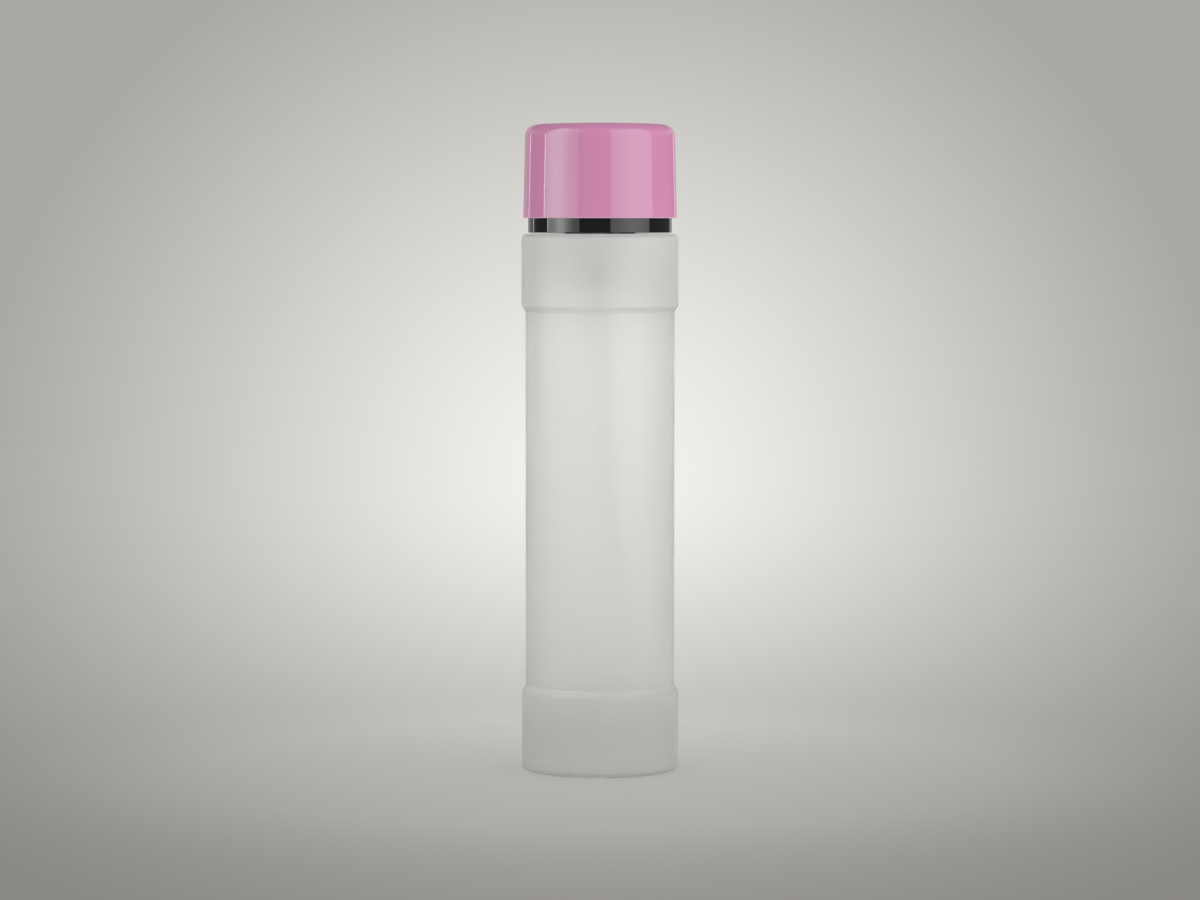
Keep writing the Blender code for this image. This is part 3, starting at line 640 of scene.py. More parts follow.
def frosted_plastic():
    """Etched, colourless and translucent, with painted shade towards the foot and the shoulder.

    The upper band is milkier than the body, and the shoulder's rim is milkier still, with painted light
    on it.
    """
    look = Recipe("frosted plastic")
    flow = look.noise(scale=26, detail=2, stretch=(1, 1, 0.35))
    cloud = look.noise(scale=140, detail=4)
    grain = look.noise(scale=5200, detail=2)
    ripple = look.noise(scale=60, detail=1, stretch=(1, 1, 0.3))
    tone = look.mixed(look.ranged(flow, 0, 1), COOL_FROST, WARM_FROST)
    height = look.height()
    # Painted shade: the colour darkens away from one height, towards the foot and the shoulder
    from_unshaded = look.math("ABSOLUTE", look.math("SUBTRACT", height, UNSHADED_HEIGHT))
    tone = look.mixed(look.smooth_step(from_unshaded, *PAINTED_SHADE_SPAN), tone, PAINTED_SHADE_FROST)
    # Painted light on the shoulder's rim, which is also made milkier below
    rim = look.smooth_step(height, SHOULDER_HEIGHT - SHOULDER_RIM, SHOULDER_HEIGHT)
    tone = look.mixed(rim, tone, PAINTED_RIM_LIGHT)
    scuffs = look.product(look.edges(low=0.53, high=0.62), look.ranged(cloud, low=0.1, high=0.8))
    etched = look.ranged(cloud, low=0.46, high=0.52)
    rubbed = look.between(scuffs, 1, RUBBED_ROUGHNESS_SHARE)
    look.bumped([(ripple, FROST_RIPPLE_DEPTH), (grain, FROST_GRAIN_DEPTH)])
    in_band = look.smooth_step(height, SHOULDER_HEIGHT - UPPER_BAND_HEIGHT, SHOULDER_HEIGHT)
    clear = look.between(in_band, BODY_CLARITY, BAND_CLARITY)
    clear_of_rim = look.between(rim, 1, RIM_CLARITY_SHARE)
    look.set(
        base_color=look.mixed(scuffs, tone, RUBBED_FROST),
        roughness=look.product(etched, rubbed),
        transmission_weight=look.product(clear, clear_of_rim),
        ior=1.3,
        coat_weight=0.15,
        coat_roughness=0.2,
    )
    return look.material


def gloss_plastic(name, colour, wear_and_highlight_colour, tint=(1, 1, 1), tones=()):
    """Injection moulded and polished: faint flow tone, orange peel and fine scratches.

    tones holds (low, high, below, above): between the two heights the colour below turns
    into the one above, and None stands for the tone that is there already.
    """
    look = Recipe(name)
    flow = look.noise(scale=55, stretch=(1, 1, 0.25))
    haze = look.noise(scale=420, detail=4)
    peel = look.noise(scale=900, detail=1)
    scratches = look.noise(scale=700, detail=6, stretch=(1, 1, 0.03))
    tone = look.toned(flow, colour, low=0.97, high=1.02)
    height = look.height()
    for low, high, below, above in tones:
        step = look.smooth_step(height, low, high)
        tone = look.mixed(step, below or tone, above or tone)
    # Convex edges take the edge colour: wear, and on the pink also a painted highlight
    wear = look.product(look.edges(low=0.54, high=0.66), look.ranged(haze, low=0, high=0.5))
    look.bumped([(peel, PEEL_DEPTH), (scratches, SCRATCH_DEPTH)])
    look.set(
        base_color=look.mixed(wear, tone, wear_and_highlight_colour),
        roughness=look.ranged(haze, low=0.02, high=0.05),
        ior=1.5,
        specular_tint=tint,
    )
    return look.material


def milky_plastic(name, colour, transmission, bending):
    """Unpigmented plastic: pale, a little see-through and satin."""
    look = Recipe(name)
    flow = look.noise(scale=180, stretch=(1, 1, 0.4))
    grain = look.noise(scale=2400)
    look.bumped([(flow, MILKY_FLOW_DEPTH), (grain, MILKY_GRAIN_DEPTH)])
    look.set(
        base_color=look.toned(flow, colour, low=0.95, high=1.03),
        roughness=look.ranged(grain, low=0.30, high=0.42),
        transmission_weight=transmission,
        ior=bending,
    )
    return look.material


def satin_white(name, colour):
    """Pigmented white plastic with a fine spark-eroded grain and rubbed edges."""
    look = Recipe(name)
    flow = look.noise(scale=150)
    grain = look.noise(scale=3000)
    tone = look.toned(flow, colour, low=0.96, high=1.02)
    wear = look.product(look.edges(low=0.54, high=0.66), look.ranged(flow, low=0, high=0.6))
    look.bumped([(flow, WHITE_FLOW_DEPTH), (grain, WHITE_GRAIN_DEPTH)])
    look.set(
        base_color=look.mixed(wear, tone, scaled(colour, WHITE_WEAR_GAIN)),
        roughness=look.ranged(grain, low=0.24, high=0.36),
        ior=1.49,
    )
    return look.material


def closed_foam(name, colour):
    """Foamed sheet: cells a quarter of a millimetre across."""
    look = Recipe(name)
    cells = look.add("ShaderNodeTexVoronoi", {"Vector": look.place, "Scale": 4200}).outputs["Distance"]
    cloud = look.noise(scale=900)
    look.bumped([(cells, CELL_DEPTH)])
    look.set(
        base_color=look.toned(cells, colour, low=0.86, high=1.03, source_low=0.1, source_high=0.6),
        roughness=look.ranged(cloud, low=0.82, high=0.95),
    )
    return look.material


def polished_steel(name, colour):
    """Drawn stainless wire and a lapped ball: fine lines and a faint stain."""
    look = Recipe(name)
    lines = look.noise(scale=2600, detail=4, stretch=(1, 1, 6))
    stain = look.noise(scale=500)
    look.bumped([(lines, DRAWN_LINE_DEPTH)])
    look.set(
        base_color=look.toned(stain, colour, low=0.9, high=1.08),
        roughness=look.ranged(lines, low=0.16, high=0.30),
        metallic=1.0,
    )
    return look.material


def make_materials():
    lip = bottom("overcap")
    crown_shade_heights = [top("overcap") - drop for drop in CROWN_SHADE_DROPS]
    pink_painted_tones = [
        # Painted highlight along the cap's lip
        (lip + CAP_LIP_FILLET / 2, lip + CAP_LIP_FILLET, LIP_HIGHLIGHT_PINK, None),
        # Painted shade on the crown, darker at the top
        (*crown_shade_heights, None, scaled(PINK, PAINTED_CROWN_SHADE)),
    ]
    return {
        "frosted_plastic": frosted_plastic(),
        "gloss_black": gloss_plastic("gloss black", BLACK, scaled(BLACK, BLACK_WEAR_GAIN)),
        "gloss_pink": gloss_plastic("gloss pink", PINK, LIP_HIGHLIGHT_PINK, PINK_GLINT, pink_painted_tones),
        "natural_plastic": milky_plastic("natural plastic", NATURAL, transmission=0.06, bending=1.3),
        "clear_tube": milky_plastic("clear tube", CLEAR, transmission=0.96, bending=1.15),
        "white_plastic": satin_white("white plastic", WHITE),
        "white_foam": closed_foam("white foam", FOAM),
        "polished_steel": polished_steel("polished steel", STEEL),
    }


# The bottle
def on_seam(angle):
    """True on the mould's parting line, which runs up both sides of the bottle."""
    return min(angle % pi, pi - angle % pi) < radians(SEAM_HALF_WIDTH_DEG) / 2


def seam(radius, height, angle):
    """How far the bottle's outer wall stands out at a point."""
    outside = radius > BODY_RADIUS - BOTTLE_WALL / 2
    on_wall = BASE_FILLET < height < SHOULDER_HEIGHT - SHOULDER_FILLET
    return SEAM_PROUD if outside and on_wall and on_seam(angle) else 0


def make_bottle():
    inner_body = BODY_RADIUS - BOTTLE_WALL
    inner_band = band_radius - BOTTLE_WALL
    ring_radius = band_radius - BASE_FILLET - STANDING_RING_WIDTH
    lower_band_top = LOWER_BAND_HEIGHT + LOWER_BAND_SLOPE
    upper_band_bottom = SHOULDER_HEIGHT - UPPER_BAND_HEIGHT
    slope_bottom = upper_band_bottom - UPPER_BAND_SLOPE
    inner_shoulder = SHOULDER_HEIGHT - BOTTLE_WALL
    gate_bottom = PUNT_RISE - GATE_NUB
    gate = [(0, gate_bottom), (GATE_RADIUS, gate_bottom), (GATE_RADIUS, PUNT_RISE)]
    punt = list(reversed(crown(ring_radius, PUNT_RISE, 0, PUNT_STEPS)))
    outside = [
        *gate,
        *punt[1:],
        (ring_radius, 0, STANDING_RING_FILLET),
        (band_radius, 0, BASE_FILLET),
        (band_radius, LOWER_BAND_HEIGHT, LOWER_BAND_FILLET),
        (BODY_RADIUS, lower_band_top, BAND_EDGE_FILLET),
        (BODY_RADIUS, slope_bottom, BAND_EDGE_FILLET),
        (band_radius, upper_band_bottom, BAND_EDGE_FILLET),
        (band_radius, SHOULDER_HEIGHT, SHOULDER_FILLET),
        (NECK_RADIUS, SHOULDER_HEIGHT, NECK_ROOT_FILLET),
        (NECK_RADIUS, neck_top, NECK_LIP_FILLET),
    ]
    inside = [
        (neck_bore, neck_top, NECK_LIP_FILLET),
        (neck_bore, inner_shoulder, NECK_ROOT_FILLET),
        (inner_band, inner_shoulder, SHOULDER_FILLET - BOTTLE_WALL),
        (inner_band, upper_band_bottom, BAND_EDGE_FILLET),
        (inner_body, slope_bottom, BAND_EDGE_FILLET),
        (inner_body, lower_band_top, BAND_EDGE_FILLET),
        (inner_band, LOWER_BAND_HEIGHT, BAND_EDGE_FILLET),
        (inner_band, BASE_WALL, BASE_FILLET - BOTTLE_WALL),
        (ring_radius, BASE_WALL),
        *crown(ring_radius, PUNT_RISE, BASE_WALL, PUNT_STEPS),
    ]
    near_seam = radians(SEAM_HALF_WIDTH_DEG)
    beside = [side + offset for side in (0, pi) for offset in (-near_seam, near_seam)]
    angles = sorted(angle % (2 * pi) for angle in whole_turn(LARGE_STEPS) + beside)
    bottle = turned("frosted_bottle", rounded(outside + inside), angles, seam)
    combine(bottle, thread_ridge("neck_thread", NECK_RADIUS, 1, thread_start), "UNION")
    return bottle


# The pieces clamped on the neck
def make_gasket():
    low, high = ends("neck_gasket")
    outer = reach("neck_gasket")
    inner = outer - GASKET_WIDTH
    corners = [(inner, low), (outer, low), (outer, high), (inner, high)]
    outline = rounded([(*corner, SOFT_EDGE_FILLET) for corner in corners])
    return turned("foam_gasket", outline, whole_turn(LARGE_STEPS))


def make_housing():
    barrel_radius = CHAMBER_RADIUS + BARREL_WALL
    ball_radius = reach("inlet_ball")
    ball_height = mid_height("inlet_ball")
    cage_radius = ball_radius + BALL_SIDE_GAP
    cage_ring_radius = cage_radius - CAGE_RING_WIDTH
    slope = tan(radians(SEAT_SLOPE_DEG))
    seat_reach = (ball_radius + FIT_GAP) / cos(radians(SEAT_SLOPE_DEG))
    throat_top = ball_height - (seat_reach - SEAT_THROAT_RADIUS) / slope
    seat_top = throat_top + (cage_radius - SEAT_THROAT_RADIUS) / slope
    socket_bore = TUBE_RADIUS + SNUG_GAP
    socket_radius = socket_bore + SOCKET_WALL
    socket_bottom = bottom("pump_housing")
    socket_top = socket_bottom + SOCKET_DEPTH
    ledge = bottom("return_spring") - FIT_GAP
    cage_top = ledge - CAGE_RING_HEIGHT
    taper_bottom = throat_top - FIT_GAP
    flange_top = top("pump_housing")
    flange_bottom = flange_top - FLANGE_THICKNESS
    edge = EDGE_FILLET
    corners = [
        (socket_radius, socket_bottom, edge),
        (socket_radius, taper_bottom, edge),
        (barrel_radius, taper_bottom + BARREL_TAPER, edge),
        (barrel_radius, flange_bottom, edge),
        (flange_radius, flange_bottom, edge),
        (flange_radius, flange_top, edge),
        (CHAMBER_RADIUS, flange_top, edge),
        (CHAMBER_RADIUS, ledge),
        (cage_ring_radius, ledge),
        (cage_ring_radius, cage_top),
        (cage_radius, cage_top),
        (cage_radius, seat_top),
        (SEAT_THROAT_RADIUS, throat_top),
        (SEAT_THROAT_RADIUS, socket_top),
        (socket_bore, socket_top),
        (socket_bore, socket_bottom, edge),
    ]
    housing = small_turned("pump_barrel", corners)
    vent_height = flange_bottom - VENT_DROP
    start = (barrel_radius / 2, 0, vent_height)
    end = (barrel_radius + CUT_OVERRUN, 0, vent_height)
    combine(housing, bar("vent_hole", VENT_RADIUS, start, end), "DIFFERENCE")
    return housing


def make_turret():
    low, high = ends("turret")
    disc_top = low + DISC_THICKNESS
    guide_bore = STEM_RADIUS + FIT_GAP
    corners = [
        (guide_bore, low),
        (flange_radius, low, EDGE_FILLET),
        (flange_radius, disc_top, EDGE_FILLET),
        (tower_radius, disc_top, EDGE_FILLET),
        (tower_radius, high, TOWER_EDGE_FILLET),
        (tower_bore, high, TOWER_EDGE_FILLET),
        (tower_bore, disc_top, EDGE_FILLET),
        (guide_bore, disc_top, EDGE_FILLET),
    ]
    return small_turned("guide_turret", corners)


def make_closure():
    low, high = ends("screw_closure")
    radius = reach("screw_closure")
    ceiling = high - CLOSURE_TOP_WALL
    corners = [
        (closure_bore, low, EDGE_FILLET),
        (radius, low, EDGE_FILLET),
        (radius, high - SPLINE_TOP_DROP),
        (radius, high, CLOSURE_EDGE_FILLET),
        (tower_radius + FIT_GAP, high, EDGE_FILLET),
        (tower_radius + FIT_GAP, ceiling),
        (closure_bore, ceiling, EDGE_FILLET),
    ]
    steps = SPLINE_STEPS * SPLINE_COUNT

    def spline(point_radius, height, angle):
        in_groove = round(angle / (2 * pi) * steps) % SPLINE_STEPS < SPLINE_STEPS / 2
        on_wall = point_radius > radius - EDGE_FILLET and height < high - SPLINE_TOP_DROP
        return -SPLINE_DEPTH if in_groove and on_wall else 0

    closure = turned("splined_closure", rounded(corners), whole_turn(steps), spline)
    slope = (THREAD_ROOT_WIDTH - THREAD_CREST_WIDTH) / 2 / THREAD_DEPTH
    ridge_drop = THREAD_ROOT_WIDTH - slope * (closure_bore - NECK_RADIUS) + FIT_GAP
    ridge = thread_ridge("closure_thread", closure_bore, -1, thread_start - ridge_drop)
    combine(closure, ridge, "UNION")
    return closure


def make_collar():
    low, high = ends("collar")
    ceiling = high - DECK_THICKNESS
    step_bottom = bottom("overcap") + COLLAR_RING_OVERLAP
    inner_radius = spigot_radius - COLLAR_WALL
    edge = EDGE_FILLET
    corners = [
        (collar_radius, low, COLLAR_FOOT_FILLET),
        (collar_radius, step_bottom, edge),
        (spigot_radius, step_bottom + COLLAR_STEP_SLOPE, edge),
        (spigot_radius, high, COLLAR_EDGE_FILLET),
        (deck_bore, high, COLLAR_FOOT_FILLET),
        (deck_bore, ceiling, edge),
        (sleeve_bore, ceiling),
        (sleeve_bore, low + SLEEVE_LIFT, edge),
        (sleeve_radius, low + SLEEVE_LIFT, edge),
        (sleeve_radius, ceiling, edge),
        (inner_radius, ceiling, edge),
        (inner_radius, low, COLLAR_FOOT_FILLET),
    ]
    return turned("gloss_collar", rounded(corners), whole_turn(LARGE_STEPS))


# The overcap
def make_cap_rib(index, outline):
    """A flat rib on a radius of the cap, from its outline of (radius, height) points."""
    turn = 2 * pi * index / CAP_RIB_COUNT
    rings = []
    for side in (-CAP_RIB_THICKNESS / 2, CAP_RIB_THICKNESS / 2):
        ring = []
        for radius, height in outline:
            x = radius * cos(turn) - side * sin(turn)
            y = radius * sin(turn) + side * cos(turn)
            ring.append((x, y, height))
        rings.append(ring)
    return skinned(f"cap_rib_{index + 1}", rings)


def make_overcap():
    low = bottom("overcap")
    high = top("overcap") - CAP_DOME_RISE
    ceiling = high - CAP_TOP_WALL
    lip_radius = reach("overcap")
    lip_bore = lip_radius - CAP_WALL
    draft = tan(radians(CAP_DRAFT_DEG))

    def drafted(radius, height):
        return radius - (height - low) * draft

    bead_height = low + CAP_BEAD_HEIGHT
    bead_top = bead_height + CAP_BEAD_HALF_WIDTH
    bead_bottom = bead_height - CAP_BEAD_HALF_WIDTH
    dome_radius = drafted(lip_radius, high) - CAP_DOME_MARGIN
    corners = [
        (lip_radius, low, CAP_LIP_FILLET),
        (drafted(lip_radius, high), high, CAP_EDGE_FILLET),
        (dome_radius, high),
        *crown(dome_radius, CAP_DOME_RISE, high, DOME_STEPS),
        (0, ceiling),
        (drafted(lip_bore, ceiling), ceiling, CAP_EDGE_FILLET - CAP_WALL),
        (drafted(lip_bore, bead_top), bead_top, EDGE_FILLET),
        (spigot_radius + FIT_GAP, bead_height, EDGE_FILLET),
        (drafted(lip_bore, bead_bottom), bead_bottom, EDGE_FILLET),
        (lip_bore, low, CAP_LIP_FILLET),
    ]
    cap = turned("pink_overcap", rounded(corners), whole_turn(LARGE_STEPS))
    rib_bottom = top("collar") + FIT_GAP
    rib_top = ceiling + CAP_TOP_WALL / 2
    rib_reach = drafted(lip_bore, rib_top) - CAP_RIB_REACH
    middle_radius = lip_bore + CAP_WALL / 2
    rib_corners = [
        (rib_reach, rib_bottom),
        (drafted(middle_radius, rib_bottom), rib_bottom),
        (drafted(middle_radius, rib_top), rib_top, CAP_EDGE_FILLET - CAP_WALL / 2),
        (rib_reach, rib_top),
    ]
    for index in range(CAP_RIB_COUNT):
        combine(cap, make_cap_rib(index, rounded(rib_corners)), "UNION")
    return cap


# The pieces that move with the button
def make_stem():
    low, high = ends("stem")
    shoulder_top = bottom("turret") - FIT_GAP
    shoulder_bottom = shoulder_top - STEM_SHOULDER_HEIGHT
    corners = [
        (STEM_BORE_RADIUS, low),
        (STEM_RADIUS, low, EDGE_FILLET),
        (STEM_RADIUS, shoulder_bottom),
        (reach("stem"), shoulder_bottom, EDGE_FILLET),
        (reach("stem"), shoulder_top, EDGE_FILLET),
        (STEM_RADIUS, shoulder_top),
        (STEM_RADIUS, high, EDGE_FILLET),
        (STEM_BORE_RADIUS, high),
    ]
    stem = small_turned("hollow_stem", corners)
    port_height = low + ROD_PLUG_LENGTH + STEM_PORT_LIFT
    start = (-2 * STEM_RADIUS, 0, port_height)
    end = (2 * STEM_RADIUS, 0, port_height)
    combine(stem, bar("stem_port", STEM_PORT_RADIUS, start, end), "DIFFERENCE")
    return stem


def make_valve_rod():
    low, high = ends("valve_rod")
    plug_radius = STEM_BORE_RADIUS - SNUG_GAP
    head_bottom = low + ROD_GUIDE_LENGTH
    head_top = head_bottom + ROD_HEAD_HEIGHT
    corners = [
        (0, low),
        (ROD_GUIDE_RADIUS, low, ROD_EDGE_FILLET),
        (ROD_GUIDE_RADIUS, head_bottom, EDGE_FILLET),
        (reach("valve_rod"), head_bottom, EDGE_FILLET),
        (reach("valve_rod"), head_top, ROD_EDGE_FILLET),
        (plug_radius, head_top, EDGE_FILLET),
        (plug_radius, high, ROD_EDGE_FILLET),
        (0, high),
    ]
    return small_turned("valve_plug", corners)


def make_piston():
    low, high = ends("piston")
    bore = STEM_RADIUS + SLIDE_GAP
    radius = reach("piston")
    waist = radius - PISTON_LIP_WALL
    groove = waist - PISTON_LIP_WALL
    lip = PISTON_LIP_DEPTH
    lower_half = [
        (bore, low),
        (groove, low),
        (groove, low + lip),
        (waist, low + lip),
        (waist, low),
        (radius, low),
        (radius, low + lip),
        (waist, low + 2 * lip, EDGE_FILLET),
    ]
    upper_half = [(out, low + high - height, *fillet) for out, height, *fillet in reversed(lower_half)]
    return small_turned("lip_piston", lower_half + upper_half)


def facing_front(piece, height):
    """Turns a piece made along Z to point to -Y, with its foot on the bottle's axis."""
    for vert in piece.data.vertices:
        vert.co = Vector((vert.co.x, -vert.co.z, height + vert.co.y))
    piece.data.update()


def make_button():
    low, high = ends("actuator_button")
    ceiling = top("turret") + low - top("screw_closure")
    dish_radius = button_radius - DISH_MARGIN
    boss_bottom = top("turret") + BOSS_OVERLAP
    socket_bore = STEM_RADIUS + SNUG_GAP
    corners = [
        (button_radius, low, EDGE_FILLET),
        (button_radius, high, HEAD_FILLET),
        (dish_radius, high),
        *crown(dish_radius, -DISH_DEPTH, high, DOME_STEPS),
        (0, socket_ceiling),
        (socket_bore, socket_ceiling),
        (socket_bore, boss_bottom, EDGE_FILLET),
        (boss_radius, boss_bottom, EDGE_FILLET),
        (boss_radius, ceiling, EDGE_FILLET),
        (button_radius - SKIRT_WALL, ceiling, EDGE_FILLET),
        (button_radius - SKIRT_WALL, low, EDGE_FILLET),
    ]
    button = small_turned("spray_button", corners)
    pocket_radius = nozzle_radius + SNUG_GAP
    pocket_end = nozzle_back - FIT_GAP
    # The pocket's sides come out of the button's round face at about this distance
    mouth = hypot(pocket_radius, button_radius - pocket_radius**2 / button_radius)
    flare_start = mouth - POCKET_CHAMFER
    flare = POCKET_CHAMFER + CUT_OVERRUN
    pocket_outline = [
        (0, pocket_end),
        (pocket_radius, pocket_end),
        (pocket_radius, flare_start),
        (pocket_radius + flare, flare_start + flare),
        (0, flare_start + flare),
    ]
    pocket = turned("nozzle_pocket", pocket_outline, whole_turn(SMALL_STEPS))
    facing_front(pocket, channel_height)
    channel_end = (0, -pocket_end - CHANNEL_RADIUS, channel_height)
    channel = bar("spray_channel", CHANNEL_RADIUS, (0, 0, channel_height), channel_end)
    riser_start = (0, 0, socket_ceiling - SOCKET_HEADROOM)
    riser = bar("spray_riser", STEM_BORE_RADIUS, riser_start, (0, 0, channel_height))
    for tool in (pocket, channel, riser):
        combine(button, tool, "DIFFERENCE")
    return button


def make_nozzle():
    front = -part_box("nozzle_insert")[0].y
    face_back = front - NOZZLE_FACE_WALL
    corners = [
        (nozzle_radius, nozzle_back, EDGE_FILLET),
        (nozzle_radius, front, ORIFICE_RADIUS),
        (ORIFICE_RADIUS + ORIFICE_FLARE, front, EDGE_FILLET),
        (ORIFICE_RADIUS, front - ORIFICE_FLARE),
        (ORIFICE_RADIUS, face_back),
        (nozzle_radius - NOZZLE_CUP_WALL, face_back),
        (nozzle_radius - NOZZLE_CUP_WALL, nozzle_back, EDGE_FILLET),
    ]
    nozzle = small_turned("swirl_nozzle", corners)
    facing_front(nozzle, channel_height)
    return nozzle


# The pieces inside the housing and below it
def make_spring():
    low = bottom("return_spring")
    rise = top("return_spring") - low - 2 * SPRING_WIRE_RADIUS
    mean_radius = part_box("return_spring")[1].x - SPRING_WIRE_RADIUS
    count = round(SPRING_COILS * SPRING_POINTS_PER_COIL)
    rings = []
    for index in range(count + 1):
        share = index / count
        angle = 2 * pi * SPRING_COILS * share
        out = Vector((cos(angle), sin(angle), 0))
        centre = mean_radius * out + Vector((0, 0, low + SPRING_WIRE_RADIUS + rise * share))
        ring = []
        for side in whole_turn(SPRING_SIDES):
            offset = cos(side) * out + sin(side) * Vector((0, 0, 1))
            ring.append(centre + SPRING_WIRE_RADIUS * offset)
        rings.append(ring)
    return skinned("coil_spring", rings)


def make_ball():
    radius = reach("inlet_ball")
    builder = bmesh.new()
    bmesh.ops.create_uvsphere(builder, u_segments=2 * BALL_STEPS, v_segments=BALL_STEPS, radius=radius)
    bmesh.ops.translate(builder, vec=(0, 0, mid_height("inlet_ball")), verts=builder.verts)
    return finish_mesh("valve_ball", builder)


def make_dip_tube():
    tube_top = top("dip_tube")
    bend_height = bottom("pump_housing") - TUBE_STRAIGHT
    lean_at_foot = 2 * TUBE_REACH / bend_height
    tube_foot = bottom("dip_tube") + TUBE_RADIUS * lean_at_foot / hypot(1, lean_at_foot)
    bent_length = bend_height - tube_foot
    heights = [tube_top]
    heights += [bend_height - bent_length * step / TUBE_STEPS for step in range(TUBE_STEPS + 1)]
    rings = []
    for radius, run in ((TUBE_RADIUS, heights), (TUBE_BORE_RADIUS, heights[::-1])):
        for height in run:
            share = max(0, bend_height - height) / bent_length
            lean = 2 * TUBE_REACH * share / bent_length
            across = Vector((1, 0, lean)) / hypot(1, lean)
            centre = Vector((TUBE_REACH * share**2, 0, height))
            ring = []
            for angle in whole_turn(TUBE_SIDES):
                ring.append(centre + radius * (cos(angle) * across + sin(angle) * Vector((0, 1, 0))))
            rings.append(ring)
    return skinned("dip_straw", rings, closed=True)


def dress():
    """Makes each piece, gives it its finish and sets it on its body in place of its node."""
    makers = {
        "bottle": make_bottle,
        "neck_gasket": make_gasket,
        "pump_housing": make_housing,
        "turret": make_turret,
        "screw_closure": make_closure,
        "collar": make_collar,
        "overcap": make_overcap,
        "stem": make_stem,
        "valve_rod": make_valve_rod,
        "piston": make_piston,
        "actuator_button": make_button,
        "nozzle_insert": make_nozzle,
        "return_spring": make_spring,
        "inlet_ball": make_ball,
        "dip_tube": make_dip_tube,
    }
    materials = make_materials()
    for node, make in makers.items():
        piece = make()
        piece.data.materials.clear()
        piece.data.materials.append(materials[slot_of[node]])
        if node == "return_spring":
            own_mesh(piece)
        piece.modifiers.new("flat faces stay flat", "WEIGHTED_NORMAL").keep_sharp = True
        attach(piece, body_of[node])
        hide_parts(node)


# The stage
def painted_light(look, by_camera):
    """The backdrop's colours: a glow behind the object that fades to grey in the corners."""
    add, math, smooth_step = look.add, look.math, look.smooth_step
    eye = (0, -EYE_DISTANCE, EYE_HEIGHT)
    from_eye = add("ShaderNodeVectorMath", {0: look.place, 1: eye}, operation="SUBTRACT")
    axes = add("ShaderNodeSeparateXYZ", {"Vector": from_eye.outputs["Vector"]})
    ahead = math("MAXIMUM", axes.outputs["Y"], LEAST_AHEAD)
    across = math("DIVIDE", axes.outputs["X"], ahead)
    climb = math("DIVIDE", axes.outputs["Z"], ahead)
    rise = math("SUBTRACT", climb, GLOW_TILT)
    above = math("DIVIDE", math("MAXIMUM", rise), GLOW_RISE)
    below = math("DIVIDE", math("MINIMUM", rise), GLOW_FALL)
    upright = math("ADD", above, below)
    sideways = math("DIVIDE", across, GLOW_WIDTH)
    squares = math("ADD", look.product(sideways, sideways), look.product(upright, upright))
    faded = math("POWER", squares, GLOW_POWER / 2)
    glow = math("EXPONENT", look.product(faded, -1))
    painted = look.mixed(glow, SHADE_COLOUR, GLOW_COLOUR)
    corner = look.mixed(smooth_step(climb, *CORNER_RISE), LOW_CORNER, HIGH_CORNER)
    painted = add("ShaderNodeVectorMath", {0: painted, 1: corner}, operation="MAXIMUM")
    half_frame = SENSOR_MM / LENS_MM / 2
    frame_middle = -tan(radians(EYE_TILT_DEG))
    from_middle = math("ABSOLUTE", math("SUBTRACT", climb, frame_middle))
    to_side = math("DIVIDE", math("ABSOLUTE", across), half_frame)
    to_top = math("DIVIDE", from_middle, half_frame * FRAME_ASPECT)
    outside = smooth_step(math("MAXIMUM", to_side, to_top), *FRAME_FADE)
    # Past the frame the camera sees the corners' colour, and other rays a paler one
    far_off = look.mixed(by_camera, FAR_COLOUR, HIGH_CORNER)
    return look.mixed(outside, painted.outputs["Vector"], far_off)


def stage_material():
    """Painted light that takes soft shadows near the object and glows by itself further out.

    The camera and reflections see the painted light. Rays through the frosted wall meet a
    haze, darkest round the foot, and other rays a fill that brightens to the right.
    """
    look = Recipe("backdrop")
    add, math, smooth_step = look.add, look.math, look.smooth_step
    path = add("ShaderNodeLightPath")
    by_camera = path.outputs["Is Camera Ray"]
    seen_through = path.outputs["Is Transmission Ray"]
    painted = painted_light(look, by_camera)
    place = add("ShaderNodeSeparateXYZ", {"Vector": look.place})
    fill = look.mixed(smooth_step(place.outputs["X"], -FLOOR_RADIUS, FLOOR_RADIUS), LEFT_FILL, RIGHT_FILL)
    seen = math("MAXIMUM", by_camera, path.outputs["Is Glossy Ray"])
    shown = look.product(seen, math("SUBTRACT", 1, seen_through))
    squares = [math("POWER", place.outputs[axis], 2) for axis in ("X", "Y")]
    ground = math("SQRT", math("ADD", *squares))
    haze = look.mixed(smooth_step(ground, 0, HAZE_RADIUS), NEAR_HAZE, FAR_HAZE)
    haze = look.mixed(smooth_step(ground, band_radius, SHADOW_RADIUS), FOOT_HAZE, haze)
    shone = look.mixed(shown, look.mixed(seen_through, fill, haze), painted)
    far = smooth_step(ground, SHADOW_RADIUS, SHADOW_FADE_RADIUS)
    lit = add("ShaderNodeVectorMath", {0: painted, "Scale": FLOOR_GAIN}, operation="SCALE")
    matte = add("ShaderNodeBsdfDiffuse", {"Color": lit.outputs["Vector"]})
    light = add("ShaderNodeEmission", {"Color": shone})
    glowing = math("MAXIMUM", math("MAXIMUM", far, FLOOR_GLOW), math("SUBTRACT", 1, by_camera))
    shaders = {1: matte.outputs["BSDF"], 2: light.outputs["Emission"]}
    look.show(add("ShaderNodeMixShader", {0: glowing, **shaders}).outputs["Shader"])
    return look.material


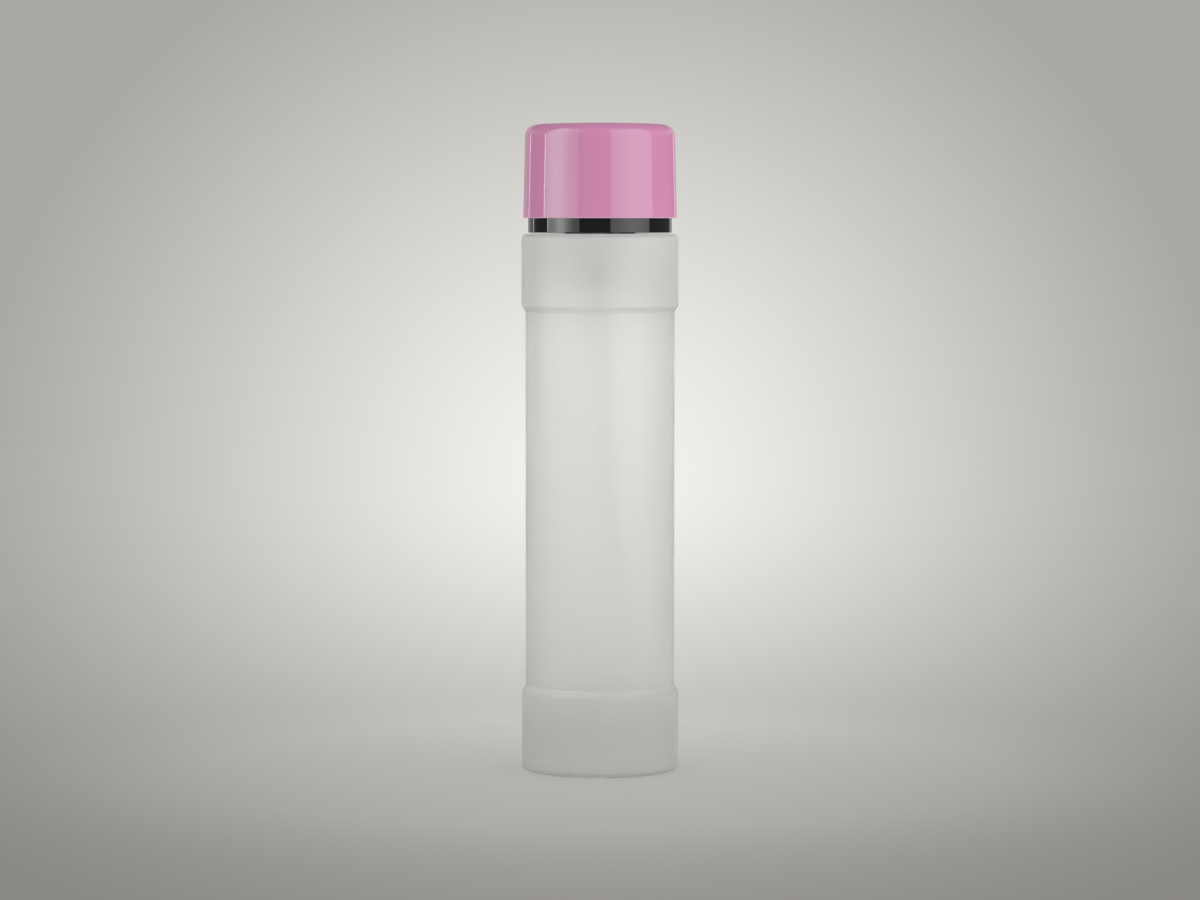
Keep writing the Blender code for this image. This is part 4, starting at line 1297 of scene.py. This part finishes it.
def make_stage():
    """A round floor that sweeps up into a wall all round."""
    outline = [(0, 0), (SHADOW_RADIUS, 0), (FLOOR_RADIUS, 0)]
    for step in range(1, SWEEP_STEPS + 1):
        angle = pi / 2 * step / SWEEP_STEPS
        outline.append((FLOOR_RADIUS + SWEEP_RADIUS * sin(angle), SWEEP_RADIUS * (1 - cos(angle))))
    outline.append((FLOOR_RADIUS + SWEEP_RADIUS, WALL_TOP))
    builder = bmesh.new()
    verts = [builder.verts.new((radius, 0, height - FLOOR_DROP)) for radius, height in outline]
    edges = [builder.edges.new(pair) for pair in zip(verts, verts[1:])]
    turn = {"axis": (0, 0, 1), "cent": (0, 0, 0), "angle": 2 * pi, "steps": STAGE_STEPS}
    bmesh.ops.spin(builder, geom=verts + edges, **turn)
    weld(builder)
    backdrop = finish_mesh("backdrop", builder)
    backdrop.data.materials.append(stage_material())


def light_strip(name, arc_deg, heights, strengths, distance=LIGHT_DISTANCE):
    """A soft panel on an arc round the object, seen in reflections and not by the camera.

    Its angles are positive to the camera's right. The strength runs evenly through the
    numbers in strengths, from one end of the arc to the other.
    """
    start, end = (radians(angle) for angle in arc_deg)
    builder = bmesh.new()
    columns = []
    for step in range(LIGHT_STEPS + 1):
        angle = start + (end - start) * step / LIGHT_STEPS
        x = distance * sin(angle)
        y = -distance * cos(angle)
        columns.append([builder.verts.new((x, y, height)) for height in heights])
    for near, far in zip(columns, columns[1:]):
        builder.faces.new((near[0], near[1], far[1], far[0]))
    mesh = bpy.data.meshes.new(name)
    builder.to_mesh(mesh)
    builder.free()
    brightness = mesh.attributes.new("brightness", "FLOAT", "POINT")
    for index, value in enumerate(brightness.data):
        share = index // len(heights) / LIGHT_STEPS * (len(strengths) - 1)
        before = min(int(share), len(strengths) - 2)
        value.value = strengths[before] + (strengths[before + 1] - strengths[before]) * (share - before)
    panel = add_object(name, mesh)
    panel.visible_camera = False
    material = bpy.data.materials.new(name)
    nodes = Nodes(material)
    reader = nodes.add("ShaderNodeAttribute", attribute_name="brightness")
    emission = nodes.add("ShaderNodeEmission", {"Strength": reader.outputs["Fac"]})
    nodes.show(emission.outputs["Emission"])
    mesh.materials.append(material)
    return panel


def make_lights():
    light_strip("left_low_softbox", LEFT_ARC, LEFT_HEIGHTS[:2], LEFT_LOW_LEVELS)
    light_strip("left_softbox", LEFT_ARC, LEFT_HEIGHTS[1:], LEFT_LEVELS)
    light_strip("right_softbox", RIGHT_ARC, RIGHT_HEIGHTS, RIGHT_LEVELS)
    hidden = [
        light_strip("left_upper", LEFT_ARC, (LEFT_HEIGHTS[2], UPPER_TOP), LEFT_LEVELS),
        light_strip("right_upper", RIGHT_ARC, (RIGHT_HEIGHTS[1], UPPER_TOP), RIGHT_LEVELS),
    ]
    for name, (arc, levels, distance) in EDGE_LIGHTS.items():
        hidden.append(light_strip(name, arc, EDGE_LIGHT_HEIGHTS, levels, distance))
    hidden.append(light_strip("dark_cards", CARD_ARC, CARD_HEIGHTS, CARD_LEVELS, CARD_DISTANCE))
    for panel in hidden:
        panel.visible_diffuse = False
        panel.visible_transmission = False
    world = bpy.data.worlds.new("sky")
    bpy.context.scene.world = world
    nodes = Nodes(world)
    background = nodes.tree.nodes["Background"]
    path = nodes.add("ShaderNodeLightPath")
    seen_through = path.outputs["Is Transmission Ray"]
    reflected = nodes.math("SUBTRACT", path.outputs["Is Glossy Ray"], seen_through)
    sky = nodes.mixed(reflected, nodes.mixed(seen_through, SKY_COLOUR, FAR_HAZE), CEILING_COLOUR)
    nodes.feed(background.inputs["Color"], sky)


def make_camera():
    data = bpy.data.cameras.new("camera")
    data.lens = LENS_MM
    data.sensor_width = SENSOR_MM
    camera = add_object("camera", data)
    camera.location = (0, -EYE_DISTANCE, EYE_HEIGHT)
    camera.rotation_euler = (radians(90 - EYE_TILT_DEG), 0, 0)
    bpy.context.scene.camera = camera


dress()
make_stage()
make_lights()
make_camera()
bpy.context.scene.view_settings.view_transform = "Standard"
